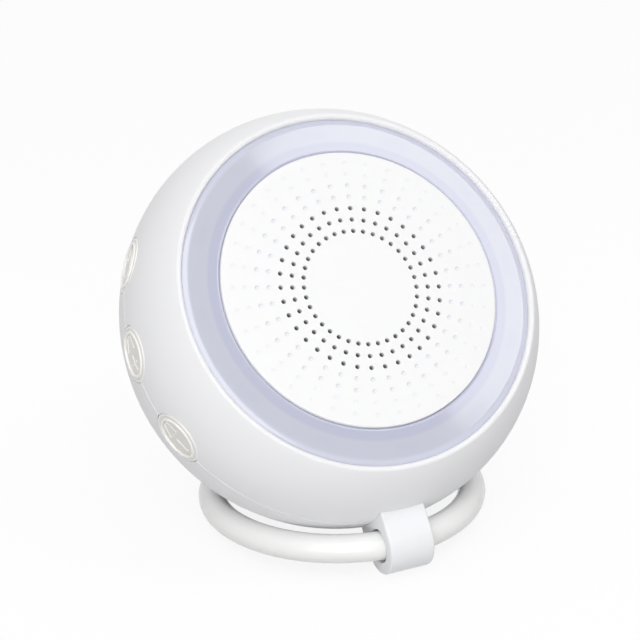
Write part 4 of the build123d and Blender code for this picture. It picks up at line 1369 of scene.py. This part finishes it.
# ------------------------------------------------------------------ studio
@dataclass(frozen=True)
class Softbox:
    """Flat lamp, placed by its direction from the speaker face.

    Args:
        name: the lamp's name.
        direction: direction in the body's frame.
        distance: distance in millimetres.
        size: width and height in millimetres.
        radiance: brightness of its surface.
        across: direction of its width in the body's frame.
    """

    name: str
    direction: tuple[float, float, float]
    distance: float
    size: tuple[float, float]
    radiance: float
    across: tuple[float, float, float] = (1.0, 0.0, 0.0)

    def build(self, body: BodyFrame, target: Vector) -> None:
        """Add the lamp."""
        lamp = bpy.data.lights.new(self.name, "AREA")
        lamp.shape = "RECTANGLE"
        lamp.size, lamp.size_y = (side * MM for side in self.size)
        lamp.energy = self.radiance * 4 * lamp.size * lamp.size_y
        holder = bpy.data.objects.new(self.name, lamp)
        bpy.context.scene.collection.objects.link(holder)
        away = (body.turn @ Vector(self.direction)).normalized()
        width = body.turn @ Vector(self.across)
        width = (width - away * width.dot(away)).normalized()
        place = aligned(width, away.cross(width), away)
        holder.matrix_world = Matrix.Translation(target + away * self.distance * MM) @ place


@dataclass
class Studio:
    """Pale floor, soft light and the camera.

    Args:
        face: seam to speaker face in millimetres.
        eye: camera's place from the middle of the face, in the body's frame, in millimetres.
        right: camera's right in the body's frame.
        up: camera's up in the body's frame.
        lens: focal length over a 36 mm wide sensor.
        ambient: strength of the even light from all round.
        lobes: wide soft lights, each a direction in the body's frame and a strength.
        floor_shade: colour of the floor in the light that it throws back.
        floor_shine: share of the floor's look that is plain white.
        boxes: the lamps.
    """

    face: float = FACE_HEIGHT
    eye: tuple[float, float, float] = (-183.1, -109.8, 397.8)
    right: tuple[float, float, float] = (0.9053, -0.2814, 0.3181)
    up: tuple[float, float, float] = (0.1764, 0.9305, 0.3211)
    lens: float = 124.66
    ambient: float = 0.01
    lobes: tuple[tuple[tuple[float, float, float], float], ...] = (
        ((1.0, 0.0, 0.0), 0.22),
        ((0.0, 1.0, 0.0), 0.92),
    )
    floor_shade: float = 0.5
    floor_shine: float = 0.88
    boxes: tuple[Softbox, ...] = (
        Softbox("strip_box", (0.522, 0.288, 0.803), 905, (266, 480), 2.35, (0.824, 0.319, -0.468)),
        Softbox("fill_box", (-0.52, -0.54, 0.76), 1000, (950, 480), 2.7, (0.84, -0.38, 0.30)),
        Softbox("front_box", (-0.33, 0.14, 0.93), 1000, (900, 900), 1.4),
    )

    def build(self, shop: Workshop) -> None:
        """Set the stage."""
        target = shop.body.centre + shop.body.facing * self.face * MM
        self.add_floor()
        self.add_world(shop.body)
        for box in self.boxes:
            box.build(shop.body, target)
        self.add_camera(shop.body, target)
        bpy.context.scene.view_settings.view_transform = "Standard"

    def add_floor(self) -> None:
        """Lay a wide floor that shows as white but keeps soft shadows."""
        bench = Bench("floor_paper")
        seen = bench.background_rays()
        shade = (self.floor_shade,) * 3
        bench.set(Base_Color=bench.blend(seen, shade, (1.0, 1.0, 1.0)), Roughness=0.9)
        bench.relief(bench.grain(bench.position(), 3.0, 2.0), 0.01)
        shine = bench.node("ShaderNodeEmission", {}, {"Color": (1, 1, 1, 1), "Strength": 1.0})
        paper = Reading(bench, bench.shader.outputs[0])
        surface = bench.node("ShaderNodeMixShader", {}, {0: seen * self.floor_shine, 1: paper, 2: shine})
        bench.tree.links.new(surface.socket, bench.tree.nodes["Material Output"].inputs["Surface"])
        mesh = bmesh.new()
        bmesh.ops.create_grid(mesh, x_segments=1, y_segments=1, size=3000)
        floor = to_object("floor", mesh, Matrix.Scale(MM, 4))
        floor.data.materials.append(bench.material)

    def add_world(self, body: BodyFrame) -> None:
        """Light from all round, seen as plain white by the camera and in reflections."""
        sky = Sky("studio_dome")
        direction = sky.node("ShaderNodeTexCoord", output="Generated")
        light: Reading | float = self.ambient
        for axis, strength in self.lobes:
            towards = (body.turn @ Vector(axis)).normalized()
            facing = sky.node("ShaderNodeVectorMath", {"operation": "DOT_PRODUCT"},
                              {0: direction, 1: towards}, output="Value")
            light = light + facing.larger(0.0) * strength
        seen = sky.background_rays()
        sky.set(Color=(1, 1, 1, 1), Strength=light * (1 - seen) + seen)

    def add_camera(self, body: BodyFrame, target: Vector) -> None:
        """Set up the camera."""
        data = bpy.data.cameras.new("camera")
        data.lens = self.lens
        data.sensor_width = 36.0
        data.clip_start = 0.01
        data.clip_end = 50.0
        camera = bpy.data.objects.new("camera", data)
        bpy.context.scene.collection.objects.link(camera)
        right = (body.turn @ Vector(self.right)).normalized()
        up = (body.turn @ Vector(self.up)).normalized()
        back = right.cross(up).normalized()
        up = back.cross(right)
        place = target + body.turn @ Vector(self.eye) * MM
        camera.matrix_world = Matrix.Translation(place) @ aligned(right, up, back)
        bpy.context.scene.camera = camera


def main() -> None:
    """Load the frame, dress it, build the fine pieces and set the stage."""
    logging.basicConfig(level=logging.INFO, format="%(message)s")
    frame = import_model()
    body = BodyFrame.from_record(frame["record"], Studio.face)
    shop = Workshop(frame, body, paint_box(body))
    Works().build(shop)
    Housing().build(shop)
    SpeakerDisc().build(shop)
    LightRing().build(shop)
    for icon, angle in zip(Icon, Housing.angles):
        Button(icon, angle).build(shop)
    HangingRing().build(shop)
    RingLug().build(shop)
    Studio().build(shop)


if __name__ == "__main__":
    main()
